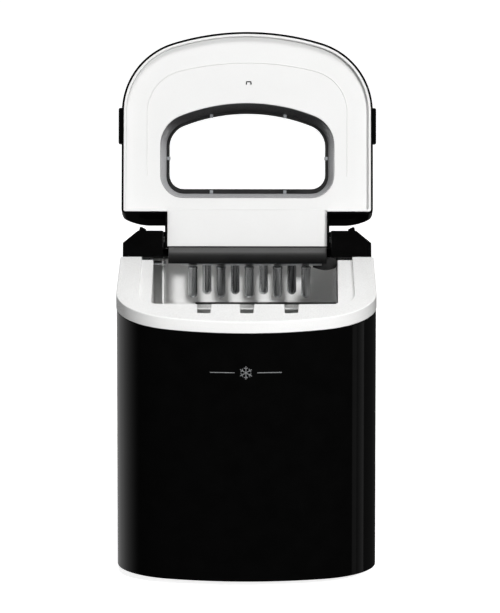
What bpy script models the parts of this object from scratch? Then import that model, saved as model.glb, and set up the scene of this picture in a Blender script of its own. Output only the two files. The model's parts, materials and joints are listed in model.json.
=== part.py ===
"""Countertop ice maker: bow-fronted body, lid held open on its hinge, evaporator over a tilting water tray.

Metres, +Z up, front towards -Y. The origin is under the middle of the body, on the surface it stands on.
The object is modelled at rest as it stands with the lid open and the water tray tipped back.
"""

import math
from collections import namedtuple

import bmesh
import bpy
from mathutils import Matrix, Vector

# ---------------------------------------------------------------- driving dimensions
BODY_WIDTH = 0.241
BODY_DEPTH = 0.358
FRONT_Y = -BODY_DEPTH / 2
BACK_Y = BODY_DEPTH / 2
BOW_RADIUS = 0.240  # the wide curve of the front
CORNER_RADIUS = 0.0685  # where the front turns into the sides
BACK_CORNER = 0.018
SIDE_TAPER = 0.015  # the sides close in towards the back by this fraction of their length
WALL = 0.0025
GAP = 0.0003  # between pieces that touch

FOOT_HEIGHT = 0.007
CASING_FRONT_TOP = 0.240  # top edge of the casing at the front
CASING_SLOPE = math.radians(7.2)
CASING_BACK_TOP = 0.256  # top edge of the casing under the rear housing
RING_FRONT_TOP = 0.2514
HOUSING_Y = -0.006  # where the ring ends and the rear housing starts
RING_BACK_TOP = 0.2792
RING_SLOPE = math.atan2(RING_BACK_TOP - RING_FRONT_TOP, HOUSING_Y - FRONT_Y)
RING_WIDTH = 0.0205
LEDGE_DROP = 0.003

HOUSING_RISE = 0.0235  # ridge of the rear housing over the ring
HOUSING_LEAN = math.radians(17)
RIDGE_Z = RING_BACK_TOP + HOUSING_RISE
RIDGE_Y = HOUSING_Y + HOUSING_RISE * math.tan(HOUSING_LEAN)
DECK_SLOPE = math.radians(12.5)
PANEL_HALF = 0.060  # the control panel's opening in the deck, Y measured down the deck from its ridge
PANEL_LOW = 0.046
PANEL_HIGH = 0.118
BUTTON_Y = 0.095
BUTTON_RADIUS = 0.0079
NOTCH_HALF = 0.079
NOTCH_BACK_Y = 0.0345
NOTCH_FLOOR = 0.2785

OPENING_LEFT = -0.088  # the rectangular opening in the ring
OPENING_RIGHT = 0.085
OPENING_FRONT = -0.124
TANK_WALL = 0.003
TANK_FLOOR = 0.045
TANK_FRONT = -0.140
TANK_BACK = 0.050
TANK_LEFT = OPENING_LEFT - 0.001  # inside faces of the tank's side walls
TANK_RIGHT = OPENING_RIGHT + 0.001
SHAFT_BORE = 0.0020
BASKET_BOTTOM = 0.100

MECH_X = 0.0022  # middle of the evaporator and the water tray
ROW_FRONT_Y = -0.0185
ROW_BACK_Y = -0.0015
FINGER_PITCH = 0.0266
FINGER_RADIUS = 0.0046
FINGER_TOP = 0.2722
FINGER_TIP = 0.2418
LOOP_Z = 0.2760
LOOP_RADIUS = 0.0035

TRAY_AXIS = Vector((MECH_X, 0.004, 0.2711))
TRAY_HALF = 0.0825
TRAY_DEPTH = 0.0335  # axis to the outside of the tray's floor
TRAY_REACH = 0.0460  # axis to the outside of the tray's front wall
TRAY_TILT = math.radians(88)
TRAY_WALL = 0.0015

HINGE = Vector((0, 0.016, 0.2912))
LID_SWING = math.radians(117.1)  # from closed to open
LID_HALF = 0.1187
LID_SKIRT = -0.0073  # the lid's lower edge, in the lid's own frame
LID_BACK = -0.0240
LID_LENGTH = 0.1733
LID_HEIGHT = 0.0222
LID_BACK_LEAN = math.tan(math.radians(22.1))
LINER_RISE = 0.0055
LINER_THICKNESS = 0.0022
TONGUE_HALF = 0.0776
TONGUE_RADIUS = 0.0115

COMPRESSOR_X = -0.054
COMPRESSOR_Y = 0.116
COMPRESSOR_RADIUS = 0.051
FAN_AXIS = Vector((0.060, 0.100, 0.104))
FAN_RADIUS = 0.040
SHELL_TOP = 0.153  # crown of the compressor
CONDENSER_LOW = Vector((0.014, 0.138, 0.042))
CONDENSER_HIGH = Vector((0.106, 0.166, 0.166))
DRAIN_Y = -0.060
DRAIN_Z = 0.034
DRAIN_HOLE_Z = 0.058  # where the drain pipe leaves the tank
INLET = (0.042, 0.250)  # Y and Z of the hole that the pump's hose comes in by
GLAND_X = -0.075
GLAND_Z = 0.045

Plan = namedtuple("Plan", "half bow corner front back back_corner taper")
BODY_PLAN = Plan(BODY_WIDTH / 2, BOW_RADIUS, CORNER_RADIUS, FRONT_Y, BACK_Y, BACK_CORNER, SIDE_TAPER)
LID_PLAN = Plan(LID_HALF, 0.2375, 0.0686, LID_BACK - LID_LENGTH, LID_BACK, 0.004, 0.0)
WINDOW_PLAN = Plan(0.0822, 0.170, 0.030, LID_BACK - 0.1060, LID_BACK - 0.0154, 0.016, 0.0)

PARTS = bpy.data.collections.new("ice_maker")
CUTTERS = bpy.data.collections.new("cutters")


# ---------------------------------------------------------------- scene and materials
def clear_scene():
    for obj in list(bpy.data.objects):
        bpy.data.objects.remove(obj)
    bpy.context.scene.collection.children.link(PARTS)
    bpy.context.scene.collection.children.link(CUTTERS)


def material(name, colour, roughness, metallic=0.0, alpha=1.0):
    made = bpy.data.materials.new(name)
    made.use_nodes = True
    shader = made.node_tree.nodes["Principled BSDF"]
    shader.inputs["Base Color"].default_value = (*colour, 1)
    shader.inputs["Roughness"].default_value = roughness
    shader.inputs["Metallic"].default_value = metallic
    shader.inputs["Alpha"].default_value = alpha
    made.diffuse_color = (*colour, alpha)
    return made


BLACK = (0.008, 0.008, 0.009)
WHITE = (0.86, 0.86, 0.85)
GREY = (0.30, 0.31, 0.32)
STEEL = (0.62, 0.63, 0.65)
COPPER = (0.72, 0.36, 0.21)


# ---------------------------------------------------------------- shapes
def put(name, mesh, look, group=None):
    obj = bpy.data.objects.new(name, mesh)
    (group or PARTS).objects.link(obj)
    if group is CUTTERS:
        obj.hide_render = True
        obj.display_type = "WIRE"
    else:
        mesh.materials.append(material(name, *look))
    return obj


def from_bmesh(name, work, look, group=None, sharp=math.radians(35)):
    mesh = bpy.data.meshes.new(name)
    bmesh.ops.recalc_face_normals(work, faces=work.faces)
    work.to_mesh(mesh)
    work.free()
    mesh.shade_smooth()
    mesh.set_sharp_from_angle(angle=sharp)
    return put(name, mesh, look, group)


def box(name, low, high, look=None, bevel=0.0, steps=2, group=None):
    """A box between two corners, with its edges rounded where bevel is given."""
    work = bmesh.new()
    size = Vector(high) - Vector(low)
    middle = (Vector(high) + Vector(low)) / 2
    place = Matrix.Translation(middle) @ Matrix.Diagonal((*size, 1))
    bmesh.ops.create_cube(work, size=1, matrix=place)
    if bevel:
        bmesh.ops.bevel(work, geom=work.edges[:], offset=bevel, segments=steps, profile=0.5, affect="EDGES")
    return from_bmesh(name, work, look, group)


def cylinder(name, radius, start, end, look=None, sides=24, end_radius=None, group=None):
    """A cylinder, or a cone where end_radius is given, from one point to another."""
    start, end = Vector(start), Vector(end)
    work = bmesh.new()
    turn = (end - start).to_track_quat("Z", "Y").to_matrix().to_4x4()
    bmesh.ops.create_cone(
        work,
        cap_ends=True,
        segments=sides,
        radius1=radius,
        radius2=radius if end_radius is None else end_radius,
        depth=(end - start).length,
        matrix=Matrix.Translation((start + end) / 2) @ turn,
    )
    return from_bmesh(name, work, look, group)


def arc(centre, radius, start, end, steps):
    """Points on an arc, angles in radians from the first axis towards the second."""
    for i in range(steps + 1):
        angle = start + (end - start) * i / steps
        yield centre[0] + radius * math.cos(angle), centre[1] + radius * math.sin(angle)


def bow_outline(plan, inset=0.0, steps=10):
    """A bow front, straight sides and a flat back with round corners, offset inwards by inset."""
    bow, corner = plan.bow - inset, plan.corner - inset
    reach = plan.half - plan.corner
    rise = plan.bow - math.sqrt((plan.bow - plan.corner) ** 2 - reach**2)
    bow_centre = plan.front + plan.bow
    corner_y = plan.front + rise
    meet = math.atan2(reach, plan.bow - rise)
    back = plan.back - inset
    back_corner = max(plan.back_corner - inset, 0.0012)
    back_half = plan.half - inset - plan.taper * (back - corner_y)
    turn = math.pi / 2
    half = list(arc((0, bow_centre), bow, -turn, meet - turn, steps))
    half += list(arc((reach, corner_y), corner, meet - turn, 0, steps))[1:]
    half += list(arc((back_half - back_corner, back - back_corner), back_corner, 0, turn, 5))
    return half + [(-x, y) for x, y in reversed(half[1:])]


def slab(name, outlines, low, high, look=None, group=None):
    """A flat outline, with any holes in it, extruded from one height to another."""
    curve = bpy.data.curves.new(name, "CURVE")
    curve.dimensions = "2D"
    curve.fill_mode = "BOTH"
    curve.extrude = (high - low) / 2
    for outline in outlines:
        spline = curve.splines.new("POLY")
        spline.points.add(len(outline) - 1)
        for point, (x, y) in zip(spline.points, outline):
            point.co = (x, y, 0, 1)
        spline.use_cyclic_u = True
    flat = bpy.data.objects.new(name, curve)
    PARTS.objects.link(flat)
    mesh = bpy.data.meshes.new_from_object(flat.evaluated_get(bpy.context.evaluated_depsgraph_get()))
    bpy.data.objects.remove(flat)
    work = bmesh.new()
    work.from_mesh(mesh)
    bmesh.ops.remove_doubles(work, verts=work.verts, dist=0.000001)
    bmesh.ops.translate(work, verts=work.verts, vec=(0, 0, (low + high) / 2))
    return from_bmesh(name, work, look, group)


def across(name, profile, half, look=None, group=None):
    """A profile of (y, z) points, extruded along X to both sides of the middle."""
    obj = slab(name, [profile], -half, half, look, group)
    obj.data.transform(Matrix(((0, 0, 1, 0), (1, 0, 0, 0), (0, 1, 0, 0), (0, 0, 0, 1))))
    return obj


def loft(name, sections, look=None, group=None):
    """A closed solid through sections of (outline, height) that have the same number of points."""
    work = bmesh.new()
    rings = [[work.verts.new((x, y, z)) for x, y in outline] for outline, z in sections]
    count = len(rings[0])
    for lower, upper in zip(rings, rings[1:]):
        for i in range(count):
            j = (i + 1) % count
            work.faces.new((lower[i], lower[j], upper[j], upper[i]))
    work.faces.new(rings[0])
    work.faces.new(rings[-1])
    return from_bmesh(name, work, look, group)


def turned(name, profile, place, look, sides=24, group=None):
    """A profile of (radius, height) points, top to bottom down its outer side, turned about Z."""
    mesh = bpy.data.meshes.new(name)
    points = [(radius, 0, height) for radius, height in profile]
    mesh.from_pydata(points, [(i, i + 1) for i in range(len(points) - 1)], [])
    obj = put(name, mesh, look, group)
    obj.location = place
    screw = obj.modifiers.new("Turn", "SCREW")
    screw.steps = screw.render_steps = sides
    screw.use_merge_vertices = True
    screw.merge_threshold = 0.00001
    screw.use_smooth_shade = True
    return obj


def tube(name, points, radius, look, closed=False, smooth=0, sides=2):
    """A round tube along straight runs, its corners softened by cutting them smooth times."""
    points = [Vector(point) for point in points]
    for _ in range(smooth):
        cut = [points[0]]
        for a, b in zip(points, points[1:]):
            cut += [a.lerp(b, 0.25), a.lerp(b, 0.75)]
        points = cut + [points[-1]]
    curve = bpy.data.curves.new(name, "CURVE")
    curve.dimensions = "3D"
    curve.bevel_depth = radius
    curve.bevel_resolution = sides
    curve.use_fill_caps = not closed
    spline = curve.splines.new("POLY")
    spline.points.add(len(points) - 1)
    for point, place in zip(spline.points, points):
        point.co = (*place, 1)
    spline.use_cyclic_u = closed
    curve.materials.append(material(name, *look))
    obj = bpy.data.objects.new(name, curve)
    PARTS.objects.link(obj)
    return obj


def combine(obj, operation, others):
    for other in others:
        step = obj.modifiers.new(operation.title(), "BOOLEAN")
        step.operation = operation
        step.solver = "EXACT"
        step.object = other
    return obj


def subtract(obj, *others):
    return combine(obj, "DIFFERENCE", others)


def unite(obj, *others):
    return combine(obj, "UNION", others)


def above(name, y, z, slope):
    """A cutter that takes all above the plane through (y, z), which rises towards the back by slope."""
    cutter = box(name, (-0.4, -0.7, 0), (0.4, 0.7, 0.3), group=CUTTERS)
    cutter.data.transform(Matrix.Translation((0, y, z)) @ Matrix.Rotation(slope, 4, "X"))
    return cutter


def below(name, y, z, slope):
    cutter = box(name, (-0.4, -0.7, -0.3), (0.4, 0.7, 0), group=CUTTERS)
    cutter.data.transform(Matrix.Translation((0, y, z)) @ Matrix.Rotation(slope, 4, "X"))
    return cutter


def pivot(name, place, turn=0.0):
    """An empty on a joint's axis, which carries the pieces that move about it."""
    empty = bpy.data.objects.new(name, None)
    empty.location = place
    empty.rotation_euler.x = turn
    empty.empty_display_size = 0.02
    PARTS.objects.link(empty)
    return empty


def carry(empty, *pieces):
    """Pieces modelled in the empty's own frame move with it."""
    for piece in pieces:
        piece.parent = empty


def hold(empty, *pieces):
    """Pieces modelled in the world's frame get their origin from the empty, and stay where they are."""
    for piece in pieces:
        if piece.type == "MESH":
            piece.data.transform(Matrix.Translation(-empty.location))
        piece.parent = empty


# ---------------------------------------------------------------- casing
def casing():
    body = slab(
        "outer_casing",
        [bow_outline(BODY_PLAN), bow_outline(BODY_PLAN, WALL)],
        FOOT_HEIGHT - 0.001,
        0.270,
        (BLACK, 0.12),
    )
    subtract(
        body,
        above("casing_top_cut", FRONT_Y, CASING_FRONT_TOP, CASING_SLOPE),
        box("casing_back_cut", (-0.2, HOUSING_Y, CASING_BACK_TOP), (0.2, 0.3, 0.4), group=CUTTERS),
        box("casing_panel_cut", (-0.098, 0.150, 0.020), (0.098, 0.3, 0.2475), group=CUTTERS),
        cylinder("casing_drain_cut", 0.0152, (-0.2, DRAIN_Y, DRAIN_Z), (-0.1, DRAIN_Y, DRAIN_Z), group=CUTTERS),
    )


def rear_panel():
    """A flat panel with rows of vent slots and the hole for the cord gland."""
    low = (-0.098 + GAP, BACK_Y - WALL, 0.020 + GAP)
    panel = box("rear_panel", low, (0.098 - GAP, BACK_Y, 0.2475 - GAP), (BLACK, 0.45))
    slots = []
    for i in range(10):
        z = 0.046 + i * 0.013
        slots.append(box(f"vent_cut_{i}", (0.014, 0.170, z), (0.088, 0.190, z + 0.006), group=CUTTERS))
    for i in range(5):
        z = 0.150 + i * 0.013
        slots.append(box(f"upper_vent_cut_{i}", (-0.088, 0.170, z), (-0.020, 0.190, z + 0.006), group=CUTTERS))
    hole = cylinder("gland_cut", 0.0078, (GLAND_X, 0.16, GLAND_Z), (GLAND_X, 0.2, GLAND_Z), group=CUTTERS)
    subtract(panel, hole, *slots)


def base_pan():
    inside = bow_outline(BODY_PLAN, WALL + GAP)
    pan = slab("base_pan", [inside], FOOT_HEIGHT + GAP, FOOT_HEIGHT + 0.0085, (GREY, 0.5, 0.6))
    hollow = bow_outline(BODY_PLAN, WALL + GAP + 0.0015)
    subtract(pan, slab("base_pan_cut", [hollow], FOOT_HEIGHT + 0.0021, 0.03, group=CUTTERS))


def feet():
    for name, x, y in (
        ("foot_front_left", -0.080, -0.125),
        ("foot_front_right", 0.080, -0.125),
        ("foot_rear_left", -0.088, 0.150),
        ("foot_rear_right", 0.088, 0.150),
    ):
        cylinder(name, 0.011, (x, y, 0), (x, y, FOOT_HEIGHT), ((0.02, 0.02, 0.02), 0.9), 20, 0.013)


def cord_gland():
    """The bush that the cord would leave through, flush with the rear panel, its flange inside."""
    x, z = GLAND_X, GLAND_Z
    inside = BACK_Y - WALL - GAP
    gland = cylinder("cord_gland", 0.0074, (x, BACK_Y - 0.0060, z), (x, BACK_Y, z), (BLACK, 0.6), 20)
    flange = cylinder("gland_flange", 0.0105, (x, 0.1735, z), (x, inside, z), sides=20, group=CUTTERS)
    bore = cylinder("gland_bore", 0.0038, (x, 0.10, z), (x, 0.25, z), sides=14, group=CUTTERS)
    subtract(unite(gland, flange), bore)


# ---------------------------------------------------------------- top ring, tank and rear housing
def top_ring():
    """The white ring round the opening: a sloping rim, a ledge a little lower, and three notches in front."""
    plan = BODY_PLAN._replace(half=BODY_PLAN.half + 0.0004, front=FRONT_Y - 0.0004, back=0.02)
    ring = slab("top_ring", [bow_outline(plan)], 0.230, 0.300, (WHITE, 0.25))
    bevel_top = above("ring_top_cut", FRONT_Y, RING_FRONT_TOP, RING_SLOPE)
    ledge = slab("ring_ledge_cut", [bow_outline(plan, RING_WIDTH)], 0.0, 0.1, group=CUTTERS)
    lean = Matrix.Translation((0, FRONT_Y, RING_FRONT_TOP - LEDGE_DROP)) @ Matrix.Rotation(RING_SLOPE, 4, "X")
    ledge.data.transform(lean @ Matrix.Translation((0, -FRONT_Y, 0)))
    opening = box("ring_opening_cut", (OPENING_LEFT, OPENING_FRONT, 0.2), (OPENING_RIGHT, 0.1, 0.4), group=CUTTERS)
    notches = []
    for i, x in enumerate((-0.039, 0.0007, 0.0418)):
        corners = (x - 0.0062, -0.1485, 0.2), (x + 0.0062, -0.11, 0.4)
        notches.append(box(f"ring_notch_cut_{i}", *corners, group=CUTTERS))
    subtract(
        ring,
        bevel_top,
        below("ring_bottom_cut", FRONT_Y, CASING_FRONT_TOP + GAP, CASING_SLOPE),
        box("ring_back_cut", (-0.2, HOUSING_Y - GAP, 0.2), (0.2, 0.1, 0.4), group=CUTTERS),
        ledge,
        opening,
        *notches,
    )


def tank_shelves():
    """A ledge on each side wall that the basket stands on."""
    shelves = []
    for name, wall, inwards in (("left", TANK_LEFT, 1), ("right", TANK_RIGHT, -1)):
        start, end = sorted((wall - inwards * 0.001, wall + inwards * 0.006))
        low, high = (start, -0.1380, 0.0940), (end, -0.0420, BASKET_BOTTOM - GAP)
        shelves.append(box(f"tank_shelf_{name}", low, high, group=CUTTERS))
    return shelves


def inner_tank():
    """The tub that holds the water, the basket and the tilting tray."""
    low = (TANK_LEFT - TANK_WALL, TANK_FRONT, TANK_FLOOR)
    high = (TANK_RIGHT + TANK_WALL, TANK_BACK, 0.30)
    tank = box("inner_tank", low, high, (WHITE, 0.3))
    room_low = (TANK_LEFT, TANK_FRONT + TANK_WALL, TANK_FLOOR + TANK_WALL)
    room_high = (TANK_RIGHT, TANK_BACK - TANK_WALL, 0.4)
    slot_low = (-0.2, TRAY_AXIS.y - 0.004, TRAY_AXIS.z - 0.012)
    slot_high = (0.2, TRAY_AXIS.y + 0.004, 0.4)
    drain = (-0.2, DRAIN_Y, DRAIN_HOLE_Z), (0, DRAIN_Y, DRAIN_HOLE_Z)
    inlet = (0.08, *INLET), (0.2, *INLET)
    subtract(
        tank,
        box("tank_room_cut", room_low, room_high, bevel=0.006, group=CUTTERS),
        above("tank_top_cut", FRONT_Y, CASING_FRONT_TOP - GAP, CASING_SLOPE),
        box("tank_bearing_cut", slot_low, slot_high, group=CUTTERS),
        cylinder("tank_drain_cut", 0.0042, *drain, sides=12, group=CUTTERS),
        cylinder("tank_inlet_cut", 0.0036, *inlet, sides=12, group=CUTTERS),
    )
    unite(tank, *tank_shelves())


def insulation():
    """Foam that fills the room between the tank and the casing, open towards the machine bay."""
    plan = BODY_PLAN._replace(back=0.054, back_corner=0.004)
    outline = bow_outline(plan, WALL + 0.001)
    foam = slab("foam_insulation", [outline], 0.018, 0.232, ((0.85, 0.80, 0.62), 0.95))
    clear = TANK_WALL + 0.0004
    low = (TANK_LEFT - clear, TANK_FRONT - GAP, TANK_FLOOR - GAP)
    subtract(
        foam,
        box("foam_tank_cut", low, (TANK_RIGHT + clear, 0.2, 0.4), group=CUTTERS),
        box("foam_motor_cut", (-0.2, -0.020, 0.205), (-0.08, 0.1, 0.4), group=CUTTERS),
        box("foam_drain_cut", (-0.2, -0.078, 0.0), (-0.08, -0.042, 0.068), group=CUTTERS),
    )


def housing_shape(name, inset, look=None, group=None):
    """The outside of the rear housing: leaning front face, chamfered sides, deck that falls to the back."""
    plan = BODY_PLAN._replace(half=BODY_PLAN.half - 0.0018, back=BACK_Y - 0.0004)
    bottom = CASING_BACK_TOP + GAP if inset == 0 else CASING_BACK_TOP - 0.02
    shape = slab(name, [bow_outline(plan, inset)], bottom, 0.320, look, group)
    front = box(f"{name}_front_cut", (-0.3, -0.4, -0.3), (0.3, inset, 0.3), group=CUTTERS)
    lean = Matrix.Rotation(-HOUSING_LEAN, 4, "X")
    front.data.transform(Matrix.Translation((0, HOUSING_Y, RING_BACK_TOP)) @ lean)
    below_ring = box(f"{name}_ring_cut", (-0.3, -0.4, 0.0), (0.3, HOUSING_Y + inset, 0.4), group=CUTTERS)
    cuts = [front, below_ring, above(f"{name}_deck_cut", RIDGE_Y, RIDGE_Z - inset, -DECK_SLOPE)]
    chamfer = math.atan2(0.0135, 0.0165)
    fall = Matrix.Rotation(-DECK_SLOPE, 4, "X")
    for side in (-1, 1):
        cut = box(f"{name}_side_cut_{side}", (-0.3, -0.4, -inset), (0.3, 0.4, 0.2), group=CUTTERS)
        place = Matrix.Translation((side * 0.1172, RIDGE_Y, RING_BACK_TOP + 0.0115))
        cut.data.transform(place @ fall @ Matrix.Rotation(side * chamfer, 4, "Y"))
        cuts.append(cut)
    return subtract(shape, *cuts)


def notch_room():
    """The hollow of the housing, which leaves a walled trough round the notch for the lid's tongue."""
    room = housing_shape("housing_room", WALL, group=CUTTERS)
    half, under = NOTCH_HALF + WALL, NOTCH_FLOOR - WALL
    trough = box("notch_trough", (-half, 0.0065, under), (half, NOTCH_BACK_Y + WALL, 0.4), group=CUTTERS)
    left = box("notch_wall_left", (-half, -0.02, under), (-NOTCH_HALF, 0.03, 0.4), group=CUTTERS)
    right = box("notch_wall_right", (NOTCH_HALF, -0.02, under), (half, 0.03, 0.4), group=CUTTERS)
    return subtract(room, trough, left, right)


def rear_housing():
    """The black housing behind the ring, with the notch that the lid is hinged in."""
    housing = housing_shape("rear_housing", 0.0, (BLACK, 0.25))
    floor_low, floor_high = (-NOTCH_HALF, -0.03, NOTCH_FLOOR), (NOTCH_HALF, NOTCH_BACK_Y, 0.4)
    front_low, front_high = (-NOTCH_HALF, -0.03, 0.2), (NOTCH_HALF, 0.0065, 0.4)
    cuts = [
        notch_room(),
        box("notch_cut", floor_low, floor_high, group=CUTTERS),
        box("notch_front_cut", front_low, front_high, group=CUTTERS),
        box("housing_skirt_cut", (-0.1130, -0.03, 0.2), (0.1130, 0.001, 0.2772), group=CUTTERS),
        deck_box("panel_cut", PANEL_HALF, PANEL_LOW, PANEL_HIGH, -0.010, 0.010, group=CUTTERS),
    ]
    for side in (-1, 1):
        ends = (side * 0.07, HINGE.y, HINGE.z), (side * 0.09, HINGE.y, HINGE.z)
        cuts.append(cylinder(f"hinge_bore_{side}", 0.0032, *ends, sides=16, group=CUTTERS))
    subtract(housing, *cuts)
    unite(housing, housing_nub(-1), housing_nub(1))


def housing_nub(side):
    """A small peak where the ridge meets the chamfer, steep outside and easy inside."""
    outer, inner = side * 0.1018, side * 0.0956
    profile = [(outer, RIDGE_Z - 0.0030), (inner, RIDGE_Z - 0.0030), (inner, RIDGE_Z - 0.0004)]
    profile += [(side * 0.0992, RIDGE_Z + 0.0016), (side * 0.1008, RIDGE_Z + 0.0016)]
    nub = slab(f"housing_nub_{side}", [profile], -0.0085, -0.0040, group=CUTTERS)
    nub.data.transform(Matrix(((1, 0, 0, 0), (0, 0, -1, 0), (0, 1, 0, 0), (0, 0, 0, 1))))
    return nub


def deck_frame():
    return Matrix.Translation((0, RIDGE_Y, RIDGE_Z)) @ Matrix.Rotation(-DECK_SLOPE, 4, "X")


def deck_box(name, half, low_y, high_y, bottom, top, look=None, group=None):
    """A box that lies on the sloping deck, its heights measured from the deck's surface."""
    obj = box(name, (-half, low_y, bottom), (half, high_y, top), look, group=group)
    obj.data.transform(deck_frame())
    return obj


def deck_point(x, along, height):
    return deck_frame() @ Vector((x, along, height))


def push_button(name, x):
    """A round key on its own axis, and the hole that it needs in the panel."""
    key = deck_point(x, BUTTON_Y, -0.0042), deck_point(x, BUTTON_Y, 0.0022)
    hole = deck_point(x, BUTTON_Y, -0.010), deck_point(x, BUTTON_Y, 0.010)
    axis = pivot(f"{name}_axis", deck_point(x, BUTTON_Y, 0))
    hold(axis, cylinder(name, BUTTON_RADIUS, *key, ((0.55, 0.56, 0.57), 0.3)))
    return cylinder(f"{name}_cut", BUTTON_RADIUS + 0.0004, *hole, sides=24, group=CUTTERS)


def control_panel():
    """The panel in the deck, with two buttons, a strip of indicator windows and the board under them."""
    span = PANEL_HALF - GAP, PANEL_LOW + GAP, PANEL_HIGH - GAP
    panel = deck_box("control_panel", *span, -0.0035, -0.0003, (BLACK, 0.2))
    strip = deck_box("indicator_cut", 0.0405, 0.0575, 0.0725, -0.0022, 0.004, group=CUTTERS)
    subtract(panel, strip, push_button("select_button", -0.028), push_button("power_button", 0.028))
    deck_box("indicator_window", 0.0402, 0.0578, 0.0722, -0.0019, -0.0004, ((0.02, 0.02, 0.025), 0.05))
    deck_box("control_board", 0.050, 0.050, 0.114, -0.0115, -0.0099, ((0.02, 0.16, 0.07), 0.4))


# ---------------------------------------------------------------- evaporator and water tray
def evaporator():
    """The tube that runs over both rows of fingers and out to the right, and the nine fingers."""
    row = 2 * FINGER_PITCH + 0.007
    left, right = MECH_X - row, MECH_X + row
    middle = (ROW_FRONT_Y + ROW_BACK_Y) / 2
    exit_y, exit_z = -0.0028, 0.2730
    loop = [(right + 0.008, ROW_FRONT_Y, LOOP_Z), (left, ROW_FRONT_Y, LOOP_Z), (left - 0.006, middle, LOOP_Z)]
    loop += [(left, ROW_BACK_Y, LOOP_Z), (right + 0.004, ROW_BACK_Y, LOOP_Z), (0.0720, exit_y, exit_z)]
    loop += [(0.0985, exit_y, exit_z)]
    tube("evaporator_loop", loop, LOOP_RADIUS - 0.0005, (STEEL, 0.25, 1.0), smooth=1)
    number = 1
    for count, y in ((5, ROW_FRONT_Y), (4, ROW_BACK_Y)):
        for i in range(count):
            x = MECH_X + (i - (count - 1) / 2) * FINGER_PITCH
            evaporator_finger(f"evaporator_finger_{number}", x, y)
            number += 1


def evaporator_finger(name, x, y):
    """A plated finger that ice grows on, with a round tip."""
    height = FINGER_TOP - FINGER_TIP
    profile = [(0, 0), (FINGER_RADIUS - 0.0006, 0), (FINGER_RADIUS, -0.0006)]
    tip = list(arc((0, -height + FINGER_RADIUS), FINGER_RADIUS, 0, -math.pi / 2, 4))
    profile += [(max(radius, 0.0), z) for radius, z in tip[:-1]] + [(0, -height)]
    turned(name, profile, (x, y, FINGER_TOP), (STEEL, 0.15, 1.0), sides=14)


def evaporator_cover():
    """The insulated cover over the tube loop, parallel to the closed lid."""
    cover = box("evaporator_cover", (-0.0745, 0, -0.0078), (0.0745, 0.0310, 0), (BLACK, 0.5), bevel=0.0012, steps=1)
    room = box("cover_room_cut", (-0.0730, 0.0016, -0.02), (0.0900, 0.0294, -0.0016), group=CUTTERS)
    place = Matrix.Translation((0.0005, -0.0258, 0.2810)) @ Matrix.Rotation(RING_SLOPE, 4, "X")
    for obj in (cover, room):
        obj.data.transform(place)
    subtract(cover, room)


def tray_profile(inset):
    """The trough's cross-section about its axis when level: a flat back, a floor and a rounded front."""
    depth, reach = TRAY_DEPTH - inset, TRAY_REACH - inset
    front_round, back_round = 0.014 - inset, 0.006 - inset
    top = -0.0085 + (inset > 0) * 0.02
    points = [(0.0032 - inset, top), (0.0032 - inset, -depth + back_round)]
    points += list(arc((0.0032 - inset - back_round, -depth + back_round), back_round, 0, -math.pi / 2, 4))[1:]
    points += list(arc((-reach + front_round, -depth + front_round), front_round, -math.pi / 2, -math.pi, 6))
    return points + [(-reach, top)]


def water_tray():
    """The trough that floods the fingers when level, with its axle stubs. It rests tipped back."""
    axis = pivot("water_tray_axis", TRAY_AXIS, TRAY_TILT)
    tray = across("water_tray", tray_profile(0.0), TRAY_HALF, (WHITE, 0.3))
    room = across("tray_room_cut", tray_profile(TRAY_WALL), TRAY_HALF - TRAY_WALL, group=CUTTERS)
    ears = []
    for side in (-1, 1):
        low, high = sorted((side * (TRAY_HALF - TRAY_WALL), side * TRAY_HALF))
        ears.append(box(f"tray_ear_{side}", (low, -0.0032, -0.016), (high, 0.0032, 0), group=CUTTERS))
        ears.append(cylinder(f"tray_boss_{side}", 0.0032, (low, 0, 0), (high, 0, 0), sides=16, group=CUTTERS))
    subtract(tray, room)
    unite(tray, *ears)
    holes = cylinder("tray_axle_cut", SHAFT_BORE, (-0.1, 0, 0), (0.1, 0, 0), sides=12, group=CUTTERS)
    subtract(tray, holes)
    bright = (STEEL, 0.2, 1.0)
    start, right_end, left_end = TRAY_HALF - 0.004, TRAY_HALF + 0.0050, TRAY_HALF + 0.0100
    pin = cylinder("tray_pivot_pin", 0.0017, (start, 0, 0), (right_end, 0, 0), bright, 12)
    shaft = cylinder("tray_drive_shaft", 0.0017, (-start, 0, 0), (-left_end, 0, 0), bright, 12)
    carry(axis, tray, room, holes, pin, shaft, *ears)


def tray_supports():
    """The bearing on the right, and the gear motor that turns the tray's shaft on the left."""
    y, z = TRAY_AXIS.y, TRAY_AXIS.z
    right = TANK_RIGHT + GAP
    low, high = (right, y - 0.0032, z - 0.0117), (right + 0.0024, y + 0.0032, z + 0.0035)
    bearing = box("tray_bearing", low, high, (STEEL, 0.25, 1.0))
    bore = cylinder("bearing_bore", SHAFT_BORE, (0.05, y, z), (0.12, y, z), sides=12, group=CUTTERS)
    subtract(bearing, bore)
    left = TANK_LEFT - TANK_WALL
    low, high = (left - 0.0195, -0.0048, z - 0.034), (left - 0.0008, 0.0320, z + 0.0045)
    motor = box("tilt_gearmotor", low, high, ((0.75, 0.75, 0.72), 0.4), bevel=0.0015, steps=1)
    boss = cylinder("motor_boss", 0.0038, (left - 0.004, y, z), (left + 0.0022, y, z), sides=16, group=CUTTERS)
    unite(motor, boss)
    socket = cylinder("motor_socket", SHAFT_BORE, (left - 0.006, y, z), (0, y, z), sides=12, group=CUTTERS)
    subtract(motor, socket)


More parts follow.
